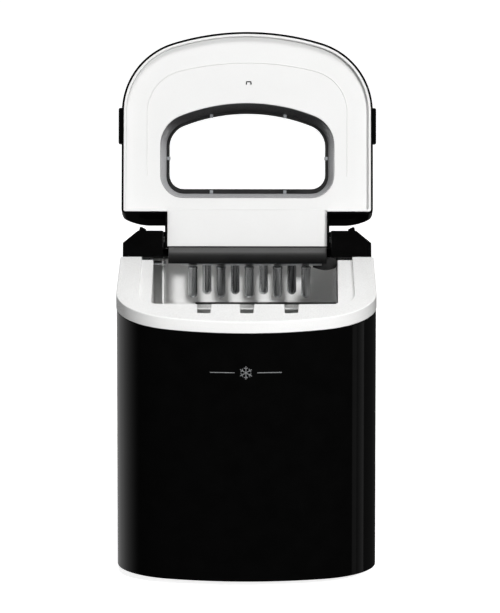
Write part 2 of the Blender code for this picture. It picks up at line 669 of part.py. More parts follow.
def ice_chute():
    """The slatted slope that leads falling cubes forward to the basket and lets the water through."""
    slope = math.radians(12)
    low, high = (TANK_LEFT + GAP, -0.045, -0.002), (TANK_RIGHT - GAP, 0.042, 0)
    chute = box("ice_chute", low, high, (WHITE, 0.35))
    slots = []
    for i in range(9):
        x = MECH_X + (i - 4) * 0.018
        slots.append(box(f"chute_slot_{i}", (x - 0.0035, -0.036, -0.01), (x + 0.0035, 0.034, 0.01), group=CUTTERS))
    for obj in (chute, *slots):
        obj.data.transform(Matrix.Translation((0, 0, 0.2050)) @ Matrix.Rotation(slope, 4, "X"))
    subtract(chute, *slots)


def ice_basket():
    """The lift-out basket in front, with drain slots in its floor and a finger opening in its front wall."""
    low, high = Vector((-0.0850, -0.1220, BASKET_BOTTOM)), Vector((0.0820, -0.0475, 0.1900))
    wall = Vector((0.002, 0.002, 0.002))
    lift = pivot("ice_basket_lift", (0, -0.085, BASKET_BOTTOM))
    basket = box("ice_basket", low, high, ((0.80, 0.82, 0.84), 0.3), bevel=0.004)
    room_high = (high.x - wall.x, high.y - wall.y, 0.3)
    cuts = [box("basket_room_cut", low + wall, room_high, group=CUTTERS)]
    middle = (low.x + high.x) / 2
    for i in range(7):
        x = middle + (i - 3) * 0.021
        ends = (x - 0.003, -0.112, 0.09), (x + 0.003, -0.058, 0.105)
        cuts.append(box(f"basket_slot_{i}", *ends, group=CUTTERS))
    grip = (middle - 0.0285, -0.130, 0.168), (middle + 0.0285, -0.115, 0.180)
    cuts.append(box("basket_grip_cut", *grip, group=CUTTERS))
    subtract(basket, *cuts)
    hold(lift, basket, *cuts)


def sensors():
    """The pair of lenses that sees when the basket is full."""
    y, z = -0.0700, 0.2085
    lens = ((0.05, 0.01, 0.05), 0.1)
    left, right = TANK_LEFT + GAP, TANK_RIGHT - GAP
    cylinder("ice_sensor_emitter", 0.004, (left, y, z), (left + 0.0022, y, z), lens, 14)
    cylinder("ice_sensor_receiver", 0.004, (right, y, z), (right - 0.0022, y, z), lens, 14)


# ---------------------------------------------------------------- refrigeration and water circuit
def compressor():
    """The welded shell with its foot plate, on three rubber grommets, and the cover of its terminals."""
    x, y = COMPRESSOR_X, COMPRESSOR_Y
    radius, top, bottom = COMPRESSOR_RADIUS, SHELL_TOP - 0.003, 0.034
    crown = list(arc((radius - 0.022, top - 0.022), 0.022, math.pi / 2, 0, 4))
    bowl = list(arc((radius - 0.018, bottom + 0.018), 0.018, 0, -math.pi / 2, 3))
    seam = [(radius, 0.098), (radius + 0.0012, 0.097), (radius + 0.0012, 0.091), (radius, 0.090)]
    profile = [(0, SHELL_TOP)] + crown + seam + bowl + [(0, bottom)]
    body = turned("compressor", profile, (x, y, 0), (BLACK, 0.35, 0.3))
    plate = box("compressor_plate", (x - 0.050, y - 0.050, 0.0310), (x + 0.050, y + 0.050, 0.0350), group=CUTTERS)
    unite(body, plate)
    rubber = ((0.03, 0.03, 0.03), 0.9)
    for i, (across_x, along_y) in enumerate(((-0.038, -0.038), (0.038, -0.038), (0.0, 0.042)), 1):
        low = Vector((x + across_x, y + along_y, FOOT_HEIGHT + 0.0024))
        high = Vector((low.x, low.y, 0.0307))
        cylinder(f"compressor_grommet_{i}", 0.009, low, high, rubber, 16, 0.007)
    low = Vector((x + radius * 0.72 + 0.004, y - 0.052, 0.060))
    high = low + Vector((0.016, 0.022, 0.032))
    box("terminal_cover", low, high, (BLACK, 0.5), bevel=0.002, steps=1)


def condenser():
    """The finned block behind the fan: a row of upright fins on a solid core."""
    low, high = CONDENSER_LOW, CONDENSER_HIGH
    block = box("condenser", low, high, (STEEL, 0.4, 0.9))
    cuts = []
    for i in range(11):
        x = low.x + 0.006 + i * 0.008
        ends = (x, 0.13, low.z + 0.006), (x + 0.004, 0.146, high.z - 0.006)
        cuts.append(box(f"fin_cut_{i}", *ends, group=CUTTERS))
    subtract(block, *cuts)


def fan():
    """The shroud, the motor on its bracket, and the five-blade wheel on the motor's shaft."""
    x, y, z = FAN_AXIS
    shroud = box("fan_shroud", (0.014, 0.1340, 0.0580), (0.106, 0.1372, 0.1500), (BLACK, 0.5))
    mouth = cylinder("shroud_cut", FAN_RADIUS + 0.002, (x, 0.12, z), (x, 0.15, z), sides=32, group=CUTTERS)
    subtract(shroud, mouth)
    motor = cylinder("fan_motor", 0.019, (x, 0.062, z), (x, 0.092, z), (STEEL, 0.4, 0.8), 24)
    stem = cylinder("fan_stem", 0.0030, (x, 0.09, z), (x, 0.099, z), sides=12, group=CUTTERS)
    arm = box("motor_arm", (x - 0.006, 0.070, 0.0097), (x + 0.006, 0.074, z - 0.010), group=CUTTERS)
    unite(motor, stem, arm)
    axis = pivot("fan_axis", FAN_AXIS)
    hub = cylinder("fan_blade", 0.0115, (x, 0.0995, z), (x, 0.1165, z), (GREY, 0.4), 20)
    blades = []
    for i in range(5):
        blade = box(f"blade_{i}", (-0.011, -0.0011, 0.006), (0.011, 0.0011, FAN_RADIUS - 0.002), group=CUTTERS)
        twist = Matrix.Rotation(math.radians(30), 4, "Z")
        spin = Matrix.Rotation(2 * math.pi * i / 5, 4, "Y")
        blade.data.transform(Matrix.Translation((x, 0.108, z)) @ spin @ twist)
        blades.append(blade)
    unite(hub, *blades)
    hold(axis, hub, *blades)


def refrigerant_lines():
    """Copper lines between the compressor, the condenser and the evaporator, and the valve and drier on them."""
    copper = (COPPER, 0.3, 1.0)
    top = SHELL_TOP + 0.001
    x, y = COMPRESSOR_X, COMPRESSOR_Y
    discharge = [(x + 0.020, y - 0.020, top), (x + 0.020, y - 0.020, 0.190), (x + 0.020, y + 0.030, 0.190)]
    discharge += [(0.020, y + 0.038, 0.190), (0.020, y + 0.038, CONDENSER_HIGH.z + 0.0005)]
    tube("discharge_line", discharge, 0.0025, copper, smooth=1)
    suction = [(0.0989, -0.0028, 0.2730), (0.1050, -0.0028, 0.2730), (0.1050, 0.0750, 0.2640)]
    suction += [(0.0950, 0.0800, 0.2400), (0.0600, 0.0750, 0.2050), (x, y - 0.025, 0.2050), (x, y - 0.025, top)]
    tube("suction_line", suction, 0.0030, copper, smooth=1)
    foot = Vector((0.0400, 0.0950, 0.2000))
    valve = cylinder("hot_gas_valve", 0.009, foot, foot + Vector((0, 0, 0.032)), (BLACK, 0.4), 18)
    stub_low, stub_high = foot - Vector((0, 0, 0.007)), foot + Vector((0, 0, 0.001))
    unite(valve, cylinder("valve_stub", 0.004, stub_low, stub_high, sides=12, group=CUTTERS))
    drier = [(0, 0.030), (0.0035, 0.028), (0.0085, 0.020), (0.0085, -0.020), (0.0035, -0.028), (0, -0.030)]
    turned("filter_drier", drier, (0.0850, 0.1500, 0.2010), copper, sides=14)
    tube("capillary_tube", capillary_path(), 0.0012, copper, sides=1)


def capillary_path():
    """Three turns of thin tube, then its run to the drier."""
    turns, per_turn, radius, pitch = 3, 10, 0.014, 0.004
    path = []
    for i in range(turns * per_turn + 1):
        angle = 2 * math.pi * i / per_turn
        x, y = 0.0700 + radius * math.cos(angle), 0.1080 + radius * math.sin(angle)
        path.append((x, y, 0.1720 + pitch * i / per_turn))
    return path + [(0.0850, 0.1250, 0.1860), (0.0850, 0.1450, 0.1700)]


def water_circuit():
    """The pump beside the tank, its hose up to the tray, and the drain line with its plug."""
    pipe = ((0.75, 0.76, 0.78), 0.3)
    low, high = (0.060, 0.0545, 0.0200), (0.100, 0.0610, 0.0500)
    box("water_pump", low, high, (GREY, 0.4), bevel=0.0015, steps=1)
    inlet_y, inlet_z = INLET
    hose = [(0.1004, 0.0580, 0.0350), (0.1060, 0.0580, 0.0350), (0.1060, 0.0580, inlet_z)]
    hose += [(0.1060, inlet_y, inlet_z), (0.0894, inlet_y, inlet_z)]
    tube("pump_hose", hose, 0.0032, pipe, smooth=1)
    drain = [(-0.0924, DRAIN_Y, DRAIN_HOLE_Z), (-0.0990, DRAIN_Y, DRAIN_HOLE_Z)]
    drain += [(-0.0990, DRAIN_Y, DRAIN_Z), (-0.1062, DRAIN_Y, DRAIN_Z)]
    tube("drain_pipe", drain, 0.0038, pipe, smooth=1)
    axis = pivot("drain_plug_axis", (-0.1180, DRAIN_Y, DRAIN_Z))
    cap_ends = (-0.1186, DRAIN_Y, DRAIN_Z), (-0.1145, DRAIN_Y, DRAIN_Z)
    stem_ends = (-0.115, DRAIN_Y, DRAIN_Z), (-0.1065, DRAIN_Y, DRAIN_Z)
    cap = cylinder("drain_plug", 0.0143, *cap_ends, (BLACK, 0.6), 24)
    stem = cylinder("plug_stem", 0.0040, *stem_ends, sides=14, group=CUTTERS)
    unite(cap, stem)
    hold(axis, cap, stem)


# ---------------------------------------------------------------- lid
def lid_sections(inset, levels):
    """Sections of the lid: the sides roll in towards the crown and the back wall leans forward."""
    for height, roll in levels:
        plan = LID_PLAN._replace(back=LID_BACK + LID_BACK_LEAN * height + roll)
        yield bow_outline(plan, inset + roll), LID_SKIRT + height


def lid_tongue():
    """The solid of the tongue: its underside runs round the hinge and up into the lid's back."""
    profile = [(-0.0250, LID_SKIRT), (0.0089, LID_SKIRT)]
    start = math.asin(LID_SKIRT / TONGUE_RADIUS)
    profile += list(arc((0, 0), TONGUE_RADIUS, start, math.pi / 2, 9))[1:]
    profile += [(-0.0163, LID_SKIRT + LID_HEIGHT - 0.0002)]
    return across("lid_tongue", profile, TONGUE_HALF, group=CUTTERS)


def lid_shell():
    """The lid's black outside, hollow from below, with its tongue, its window opening and two side grips."""
    levels = ((0.0, 0.0), (0.0100, 0.0006), (0.0140, 0.0035), (0.0175, 0.0085), (0.0205, 0.0150), (LID_HEIGHT, 0.0220))
    shell = loft("lid_shell", list(lid_sections(0.0, levels)), (BLACK, 0.15))
    inner = [(-0.001, 0.0)] + [(height - WALL, roll) for height, roll in levels[1:]]
    room = loft("lid_room_cut", list(lid_sections(WALL - 0.0005, inner)), group=CUTTERS)
    tongue = lid_tongue()
    half = TONGUE_HALF - 0.002
    hollow_top = LID_SKIRT + LINER_RISE + 0.0025
    tongue_room = box("tongue_room_cut", (-half, -0.060, -0.040), (half, 0.0072, hollow_top), group=CUTTERS)
    window = window_prism("lid_window_cut", 0.0048)
    grips, bores = [], []
    for side in (-1, 1):
        start, end = sorted((side * 0.116, side * 0.1218))
        low, high = (start, LID_BACK - 0.1010, LID_SKIRT + 0.0012), (end, LID_BACK - 0.0665, LID_SKIRT + 0.0085)
        grips.append(box(f"lid_grip_{side}", low, high, bevel=0.001, steps=1, group=CUTTERS))
        ends = (side * (TONGUE_HALF - 0.0021), 0, 0), (side * 0.1, 0, 0)
        bores.append(cylinder(f"lid_pin_bore_{side}", 0.0029, *ends, sides=16, group=CUTTERS))
    subtract(shell, room)
    unite(shell, tongue, *grips)
    subtract(shell, tongue_room, window, *bores)
    return [shell, room, tongue, tongue_room, window, *bores, *grips]


def window_prism(name, inset):
    """A cutter of the window's outline, right through the lid."""
    return loft(name, [(bow_outline(WINDOW_PLAN, inset, 6), z) for z in (-0.02, 0.03)], group=CUTTERS)


def lid_liner():
    """The white inner panel, which runs on over the tongue, with the opening for the window."""
    rise = LID_SKIRT + LINER_RISE
    top = rise + LINER_THICKNESS
    half = TONGUE_HALF - 0.0023
    liner = slab("lid_liner", [bow_outline(LID_PLAN, 0.0031)], rise, top, (WHITE, 0.3))
    strip = box("liner_tongue", (-half, -0.060, rise), (half, 0.0069, top), group=CUTTERS)
    window = window_prism("liner_window_cut", 0.0)
    subtract(unite(liner, strip), window)
    return [liner, strip, window]


def lid_window():
    """A clear dish: its sloping wall runs from the liner up to the pane in the lid's crown."""
    rise = LID_SKIRT + LINER_RISE
    top = LID_SKIRT + LID_HEIGHT
    outer = [(0.0003, rise + 0.0001), (0.0003, rise + 0.0032), (0.0066, top - 0.0010), (0.0066, top - 0.0002)]
    inner = [(0.0020, rise - 0.003), (0.0020, rise + 0.0030), (0.0085, top - 0.0030), (0.0085, top - 0.0024)]
    outer_rings = [(bow_outline(WINDOW_PLAN, inset, 6), z) for inset, z in outer]
    inner_rings = [(bow_outline(WINDOW_PLAN, inset, 6), z) for inset, z in inner]
    dish = loft("lid_window", outer_rings, ((0.55, 0.57, 0.60), 0.05, 0.0, 0.35))
    room = loft("window_room_cut", inner_rings, group=CUTTERS)
    subtract(dish, room)
    return [dish, room]


def lid_pins():
    pins = []
    for name, side in (("lid_hinge_pin_left", -1), ("lid_hinge_pin_right", 1)):
        start, end = (side * (TONGUE_HALF - 0.0019), 0, 0), (side * 0.0830, 0, 0)
        pins.append(cylinder(name, 0.0026, start, end, (STEEL, 0.25, 1.0), 16))
    return pins


def lid():
    hinge = pivot("lid_hinge_axis", HINGE, RING_SLOPE - LID_SWING)
    carry(hinge, *lid_shell(), *lid_liner(), *lid_window(), *lid_pins())


# ---------------------------------------------------------------- assembly
def main():
    clear_scene()
    casing()
    rear_panel()
    base_pan()
    feet()
    cord_gland()
    top_ring()
    inner_tank()
    insulation()
    rear_housing()
    control_panel()
    evaporator()
    evaporator_cover()
    water_tray()
    tray_supports()
    ice_chute()
    ice_basket()
    sensors()
    compressor()
    condenser()
    fan()
    refrigerant_lines()
    water_circuit()
    lid()


main()
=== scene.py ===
"""The looks of a countertop ice maker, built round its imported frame.

Its lid is open, and its ice fingers hang before the tipped tray. Metres, +Z up, front towards -Y.
Lid pieces are modelled in the lid's own frame: the hinge is the origin, -Y runs to the lid's front end,
and +Z points out of its crown.
"""

import json
from collections import namedtuple
from math import asin, atan2, copysign, cos, pi, radians, sin, sqrt, tan

import bmesh
import bpy
from mathutils import Matrix, Vector

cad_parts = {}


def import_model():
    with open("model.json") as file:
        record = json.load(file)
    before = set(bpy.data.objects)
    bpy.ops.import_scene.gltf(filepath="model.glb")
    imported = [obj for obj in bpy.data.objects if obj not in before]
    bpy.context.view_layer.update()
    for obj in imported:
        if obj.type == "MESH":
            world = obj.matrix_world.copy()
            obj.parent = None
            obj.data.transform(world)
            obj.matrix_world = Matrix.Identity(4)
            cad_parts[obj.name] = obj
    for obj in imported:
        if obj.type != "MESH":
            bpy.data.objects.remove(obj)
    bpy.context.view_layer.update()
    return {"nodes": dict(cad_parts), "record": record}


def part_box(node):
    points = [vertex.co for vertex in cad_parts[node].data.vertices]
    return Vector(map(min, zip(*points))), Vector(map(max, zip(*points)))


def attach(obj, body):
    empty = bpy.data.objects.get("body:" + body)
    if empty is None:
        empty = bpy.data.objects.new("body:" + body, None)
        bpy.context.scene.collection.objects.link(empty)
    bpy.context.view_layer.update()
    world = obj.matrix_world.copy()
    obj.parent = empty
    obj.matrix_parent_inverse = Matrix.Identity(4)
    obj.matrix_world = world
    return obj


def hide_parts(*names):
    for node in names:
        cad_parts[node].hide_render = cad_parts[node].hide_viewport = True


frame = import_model()
NODES = frame["nodes"]

def pose(place, angle=0.0, axis="X"):
    return Matrix.Translation(place) @ Matrix.Rotation(angle, 4, axis)


# ---------------------------------------------------------------- driving dimensions
CASING_LOW, CASING_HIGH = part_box("outer_casing")
FRONT_Y, BACK_Y = CASING_LOW.y, CASING_HIGH.y
WALL = 0.0025
GAP = 0.0003
FOOT_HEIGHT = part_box("foot_front_left")[1].z
CASING_FRONT_TOP = 0.24
CASING_SLOPE = radians(7.2)
CASING_BACK_TOP = 0.256
PANEL_HALF = 0.098  # opening in the casing's back, for the rear panel
PANEL_LOW, PANEL_HIGH = 0.02, 0.2475
DRAIN = Vector((CASING_LOW.x, -0.06, 0.034))
DRAIN_BORE = 0.0152

HOUSING_Y = -0.006
RING_FRONT_TOP = 0.2514
RING_BACK_TOP = 0.2792
RING_SLOPE = atan2(RING_BACK_TOP - RING_FRONT_TOP, HOUSING_Y - FRONT_Y)
RING_WIDTH = 0.0205
LEDGE_DROP = 0.003
OPENING_LEFT, OPENING_RIGHT, OPENING_FRONT = -0.088, 0.085, -0.124
RING_NOTCHES = (-0.039, 0.0007, 0.0418)
HOUSING_RISE = 0.0235
HOUSING_LEAN = radians(17)
DECK_SLOPE = radians(12.5)
RIDGE_Y = HOUSING_Y + HOUSING_RISE * tan(HOUSING_LEAN)
RIDGE_Z = RING_BACK_TOP + HOUSING_RISE
NOTCH_HALF, NOTCH_BACK_Y, NOTCH_FLOOR = 0.079, 0.0345, 0.2785

HINGE = Vector((0, 0.016, 0.2912))
LID_SWING = radians(117.1)
LID_SKIRT = -0.0073
LID_BACK = -0.024
LID_LENGTH = 0.1733
LID_HEIGHT = 0.0222
LINER_RISE = 0.0055
TONGUE_HALF = 0.0776
TONGUE_RADIUS = 0.0115
LID_FRAME = pose(HINGE, RING_SLOPE - LID_SWING)
DECK_FRAME = pose((0, RIDGE_Y, RIDGE_Z), -DECK_SLOPE)

Plan = namedtuple("Plan", "half bow corner front back back_corner taper")
BODY_PLAN = Plan(-CASING_LOW.x, 0.24, 0.0685, FRONT_Y, BACK_Y, 0.018, 0.015)
LID_PLAN = Plan(0.1187, 0.2375, 0.0686, LID_BACK - LID_LENGTH, LID_BACK, 0.004, 0.0)
WINDOW_PLAN = Plan(0.0822, 0.17, 0.03, LID_BACK - 0.106, LID_BACK - 0.0154, 0.022, 0.0)


# ---------------------------------------------------------------- materials
NOISE_MIDDLE = {"From Min": 0.3, "From Max": 0.7}  # nearly all of a noise lies between these
RELIEF_HEIGHT = 0.0002
WHITE_GRAIN = {"patch": 25, "grain": 1800, "relief": 0.04, "specular": 0.4}
# The bezel's two greys and the heights between which it fades: painted shade, darkest at the window's front end,
# where its wall faces down.
BEZEL_SHADE_GREYS = ((0.034, 0.034, 0.035), (0.4, 0.4, 0.41))
BEZEL_SHADED_Z, BEZEL_LIT_Z = 0.402, 0.362


def fill(tree, node, inputs):
    """Sets each input to its value, or links it where it is given another node's socket."""
    for name, value in inputs.items():
        if isinstance(value, bpy.types.NodeSocket):
            tree.links.new(value, node.inputs[name])
        else:
            node.inputs[name].default_value = value


def add(tree, kind, inputs=None, **settings):
    node = tree.nodes.new(f"ShaderNode{kind}")
    for name, value in settings.items():
        setattr(node, name, value)
    fill(tree, node, inputs or {})
    return node


def principled(name, inputs):
    """A material whose inputs come from the node tree that it is given."""
    made = bpy.data.materials.new(name)
    made.use_nodes = True
    tree = made.node_tree
    fill(tree, tree.nodes["Principled BSDF"], inputs(tree))
    return made


def noise(tree, scale, detail=3.0, stretch=(1, 1, 1)):
    """Noise that is fixed to the piece, with its grain drawn out by stretch."""
    place = add(tree, "TexCoord").outputs["Object"]
    vector = add(tree, "Mapping", {"Scale": stretch, "Vector": place}).outputs["Vector"]
    return add(tree, "TexNoise", {"Scale": scale, "Detail": detail, "Vector": vector}).outputs["Fac"]


def spread(tree, source, low, high):
    """Maps noise onto the range from low to high."""
    inputs = {**NOISE_MIDDLE, "To Min": low, "To Max": high, "Value": source}
    return add(tree, "MapRange", inputs).outputs["Result"]


def tone(colour):
    """A colour, or a grey given by its level, made opaque."""
    return (*((colour,) * 3 if isinstance(colour, float) else colour), 1)


def tint(tree, source, first, second):
    inputs = {"A": tone(first), "B": tone(second), "Factor": source}
    return add(tree, "Mix", inputs, data_type="RGBA").outputs["Result"]


def bump(tree, source, strength):
    inputs = {"Strength": strength, "Distance": RELIEF_HEIGHT, "Height": source}
    return add(tree, "Bump", inputs).outputs["Normal"]


def surface(
    name, colours, roughness, metallic=0.0, patch=60.0, grain=1500.0, relief=0.05, stretch=(1, 1, 1),
    coat=0.0, specular=0.5,
):
    """A surface whose colour and gloss drift over patches, with a fine grain in relief."""

    def inputs(tree):
        broad = noise(tree, patch, 3.0, stretch)
        fine = noise(tree, grain, 3.0, stretch)
        return {
            "Base Color": tint(tree, spread(tree, broad, 0.0, 1.0), *colours),
            "Roughness": spread(tree, fine, *roughness),
            "Normal": bump(tree, fine, relief),
            "Metallic": metallic,
            "Coat Weight": coat,
            "Coat Roughness": 0.05,
            "Specular IOR Level": specular,
        }

    return principled(name, inputs)


def clear_plastic(name, colours, roughness, transmission):
    def inputs(tree):
        haze = noise(tree, 90.0)
        return {
            "Base Color": tint(tree, spread(tree, haze, 0.0, 1.0), *colours),
            "Roughness": spread(tree, haze, *roughness),
            "Transmission Weight": transmission,
            "IOR": 1.49,
        }

    return principled(name, inputs)


def painted_shade_bezel_inputs(tree):
    """Satin moulding with painted shade: dark at the window's front end, where its wall faces down, paling down to
    its foot.
    """
    place = add(tree, "TexCoord").outputs["Object"]
    height = add(tree, "SeparateXYZ", {"Vector": place}).outputs["Z"]
    ends = {"From Min": BEZEL_SHADED_Z, "From Max": BEZEL_LIT_Z, "Value": height}
    fade = add(tree, "MapRange", ends, interpolation_type="SMOOTHSTEP")
    fine = noise(tree, 1800.0)
    return {
        "Base Color": tint(tree, fade.outputs["Result"], *BEZEL_SHADE_GREYS),
        "Roughness": spread(tree, fine, 0.25, 0.38),
        "Normal": bump(tree, fine, 0.08),
    }


LOOKS = {
    "gloss_black": surface(
        "gloss_black_moulding", (0.0016, 0.0022), (0.05, 0.09), grain=700, relief=0.015, specular=0.42
    ),
    "satin_black": surface(
        "satin_black_moulding", (0.01, (0.016, 0.016, 0.017)), (0.34, 0.46), grain=3000, relief=0.25
    ),
    "white_abs": surface("white_moulding", ((0.86, 0.86, 0.85), (0.875, 0.875, 0.87)), (0.24, 0.32), **WHITE_GRAIN),
    "clear_window": clear_plastic("clear_moulding", ((0.97, 0.98, 0.98), 0.99), (0.0, 0.015), 1.0),
    "grey_basket": clear_plastic(
        "frosted_moulding", ((0.8, 0.83, 0.86), (0.86, 0.88, 0.9)), (0.3, 0.45), 0.35
    ),
    # Painted reflections: the plating's colour swings from near black to bright in streaks drawn out along Z.
    "plated_finger": surface(
        "nickel_plate_painted_reflections", ((0.02, 0.02, 0.022), (0.8, 0.81, 0.82)), (0.08, 0.18), 1.0,
        patch=230, grain=2500, relief=0.06, stretch=(1, 1, 0.06),
    ),
    "steel": surface(
        "plain_steel", ((0.45, 0.46, 0.47), (0.58, 0.59, 0.6)), (0.22, 0.36), 1.0,
        patch=120, grain=1200, relief=0.08, stretch=(1, 1, 6),
    ),
    "galvanised": surface(
        "galvanised_sheet", ((0.36, 0.37, 0.38), (0.56, 0.57, 0.58)), (0.35, 0.55), 0.9,
        patch=140, grain=600, relief=0.1,
    ),
    "aluminium_fins": surface(
        "aluminium_sheet", ((0.62, 0.63, 0.64), (0.75, 0.76, 0.77)), (0.25, 0.42), 1.0,
        grain=900, stretch=(8, 1, 1),
    ),
    "copper": surface(
        "drawn_copper", ((0.42, 0.17, 0.09), (0.74, 0.36, 0.2)), (0.18, 0.4), 1.0,
        patch=70, grain=800, relief=0.06,
    ),
    "rubber": surface("moulded_rubber", (0.012, 0.022), (0.7, 0.85), grain=1600, relief=0.3),
    "foam": surface(
        "rigid_foam", ((0.72, 0.66, 0.46), (0.86, 0.81, 0.62)), (0.8, 0.95), patch=90, grain=500, relief=0.7
    ),
    "grey_plastic": surface(
        "grey_moulding", ((0.2, 0.21, 0.22), (0.26, 0.27, 0.28)), (0.35, 0.48), relief=0.15
    ),
    "silver_key": surface("silver_keycap", ((0.42, 0.43, 0.44), (0.5, 0.51, 0.52)), (0.22, 0.32), 0.6, grain=2600),
    "dark_lens": surface(
        "tinted_lens", ((0.006, 0.006, 0.008), (0.01, 0.01, 0.013)), (0.03, 0.06),
        grain=500, relief=0.01, coat=0.5,
    ),
    "board": surface(
        "solder_mask", ((0.01, 0.09, 0.035), (0.018, 0.14, 0.055)), (0.25, 0.4), grain=900, relief=0.1
    ),
    "hose": clear_plastic("silicone_hose", ((0.7, 0.72, 0.74), (0.78, 0.8, 0.82)), (0.3, 0.45), 0.25),
    "compressor_paint": surface("black_enamel", (0.008, 0.014), (0.18, 0.32), grain=450, relief=0.2, coat=0.2),
}
# Painted shade: the liner is a darker copy of the white moulding, so that it reads dimmer than the ring under the
# same lamps.
LINER_SHADED_LOOK = surface("liner_white_painted_shade", ((0.695, 0.695, 0.69), (0.71, 0.71, 0.705)), (0.26, 0.34), **WHITE_GRAIN)
HOOD_LOOK = surface("hood_black", (0.004, 0.007), (0.26, 0.36), grain=2600, relief=0.15, specular=0.2)
BEZEL_PAINTED_SHADE_LOOK = principled("window_bezel_painted_shade", painted_shade_bezel_inputs)


def dress_nodes():
    """Every carried node takes its material slot's look."""
    for part in frame["record"]["subparts"]:
        node = NODES[part["node"]]
        node.data.materials.clear()
        node.data.materials.append(LOOKS[part["material_slot"]])


# ---------------------------------------------------------------- mesh tools
def mesh_from(work, sharp=32.0):
    mesh = bpy.data.meshes.new("work")
    bmesh.ops.recalc_face_normals(work, faces=work.faces)
    work.to_mesh(mesh)
    work.free()
    mesh.shade_smooth()
    mesh.set_sharp_from_angle(angle=radians(sharp))
    return mesh


def placed(name, data):
    obj = bpy.data.objects.new(name, data)
    bpy.context.scene.collection.objects.link(obj)
    return obj


def piece(name, work, slot, node="", body="cabinet", look=None, sharp=32.0):
    """A bmesh becomes a piece on its body, in its slot's look or its own, and stands for a node."""
    mesh = mesh_from(work, sharp)
    mesh.name = name
    mesh.materials.append(look or LOOKS[slot])
    obj = placed(name, mesh)
    obj.modifiers.new("Flat faces lead", "WEIGHTED_NORMAL").keep_sharp = True
    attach(obj, body)
    if node:
        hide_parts(node)


def carve(base, cuts=(), joins=()):
    """Exact Booleans between bmeshes: first what is joined, then what is cut."""
    bodies = [placed("work", mesh_from(work)) for work in (base, *joins, *cuts)]
    steps = ["UNION"] * len(joins) + ["DIFFERENCE"] * len(cuts)
    for operation, other in zip(steps, bodies[1:]):
        step = bodies[0].modifiers.new("Carve", "BOOLEAN")
        step.operation = operation
        step.solver = "EXACT"
        step.object = other
    mesh = bpy.data.meshes.new_from_object(bodies[0].evaluated_get(bpy.context.evaluated_depsgraph_get()))
    carved = bmesh.new()
    carved.from_mesh(mesh)
    bpy.data.meshes.remove(mesh)
    for obj in bodies:
        bpy.data.meshes.remove(obj.data)
    bmesh.ops.remove_doubles(carved, verts=carved.verts, dist=1e-6)
    return carved


def soften(work, width, segments=2, angle=40.0):
    """Rounds the edges that are longer than the width and sharper than the angle."""
    edges = [edge for edge in work.edges if len(edge.link_faces) == 2 and edge.calc_length() > width]
    edges = [edge for edge in edges if edge.calc_face_angle(0.0) > radians(angle)]
    bmesh.ops.bevel(
        work, geom=edges, offset=width, segments=segments, profile=0.5, affect="EDGES", clamp_overlap=False
    )
    return work


def mm(*points):
    """Points given in millimetres, as metres."""
    return [tuple(value / 1000 for value in point) for point in points]


def moved(work, matrix):
    bmesh.ops.transform(work, matrix=matrix, verts=work.verts)
    return work


# Stands a plan up, to face front and back.
UPRIGHT = Matrix(((1, 0, 0, 0), (0, 0, -1, 0), (0, 1, 0, 0), (0, 0, 0, 1)))


def block(low, high, bevel=0.0, segments=2):
    work = bmesh.new()
    low, high = Vector(low), Vector(high)
    bmesh.ops.create_cube(work, size=1)
    moved(work, Matrix.Translation((low + high) / 2) @ Matrix.Diagonal((*(high - low), 1)))
    if bevel:
        bmesh.ops.bevel(
            work, geom=work.edges[:], offset=bevel, segments=segments, profile=0.5, affect="EDGES"
        )
    return work


def rod(radius, start, end, sides=48, end_radius=None):
    start, end = Vector(start), Vector(end)
    work = bmesh.new()
    turn = (end - start).to_track_quat("Z", "Y").to_matrix().to_4x4()
    bmesh.ops.create_cone(
        work,
        cap_ends=True,
        segments=sides,
        radius1=radius,
        radius2=radius if end_radius is None else end_radius,
        depth=(end - start).length,
        matrix=Matrix.Translation((start + end) / 2) @ turn,
    )
    return work


def arc(centre, radius, start, end, steps):
    for i in range(steps + 1):
        angle = start + (end - start) * i / steps
        yield centre[0] + radius * cos(angle), centre[1] + radius * sin(angle)


def bow_outline(plan, inset=0.0, steps=20):
    """A bow front, straight sides and a flat back with round corners, offset inwards by inset."""
    bow, corner = plan.bow - inset, plan.corner - inset
    reach = plan.half - plan.corner
    rise = plan.bow - sqrt((plan.bow - plan.corner) ** 2 - reach**2)
    corner_y = plan.front + rise
    meet = atan2(reach, plan.bow - rise)
    back = plan.back - inset
    back_corner = max(plan.back_corner - inset, 0.0012)
    back_half = plan.half - inset - plan.taper * (back - corner_y)
    turn = pi / 2
    half = list(arc((0, plan.front + plan.bow), bow, -turn, meet - turn, steps))
    half += list(arc((reach, corner_y), corner, meet - turn, 0, steps))[1:]
    half += list(arc((back_half - back_corner, back - back_corner), back_corner, 0, turn, 8))
    return half + [(-x, y) for x, y in reversed(half[1:])]


def round_rectangle(low, high, corner, steps=8):
    turn = pi / 2
    centres = ((high[0], high[1]), (low[0], high[1]), (low[0], low[1]), (high[0], low[1]))
    points = []
    for i, (x, y) in enumerate(centres):
        place = (x - corner * (1 if i in (0, 3) else -1), y - corner * (1 if i < 2 else -1))
        points += list(arc(place, corner, i * turn, (i + 1) * turn, steps))
    return points


def lofted(sections, closed=False):
    """Skins through sections of (outline, height), joined into a ring when closed, else capped."""
    work = bmesh.new()
    rings = [[work.verts.new((x, y, z)) for x, y in outline] for outline, z in sections]
    pairs = list(zip(rings, rings[1:])) + ([(rings[-1], rings[0])] if closed else [])
    count = len(rings[0])
    for lower, upper in pairs:
        for i in range(count):
            j = (i + 1) % count
            work.faces.new((lower[i], lower[j], upper[j], upper[i]))
    if not closed:
        work.faces.new(rings[0])
        work.faces.new(rings[-1])
    return work


def ring_of(plan, profile, steps=20):
    """A profile of (inset, height) points carried round a plan's outline."""
    return lofted([(bow_outline(plan, inset, steps), z) for inset, z in profile], closed=True)


def slab(outline, low, high):
    return lofted([(outline, low), (outline, high)])


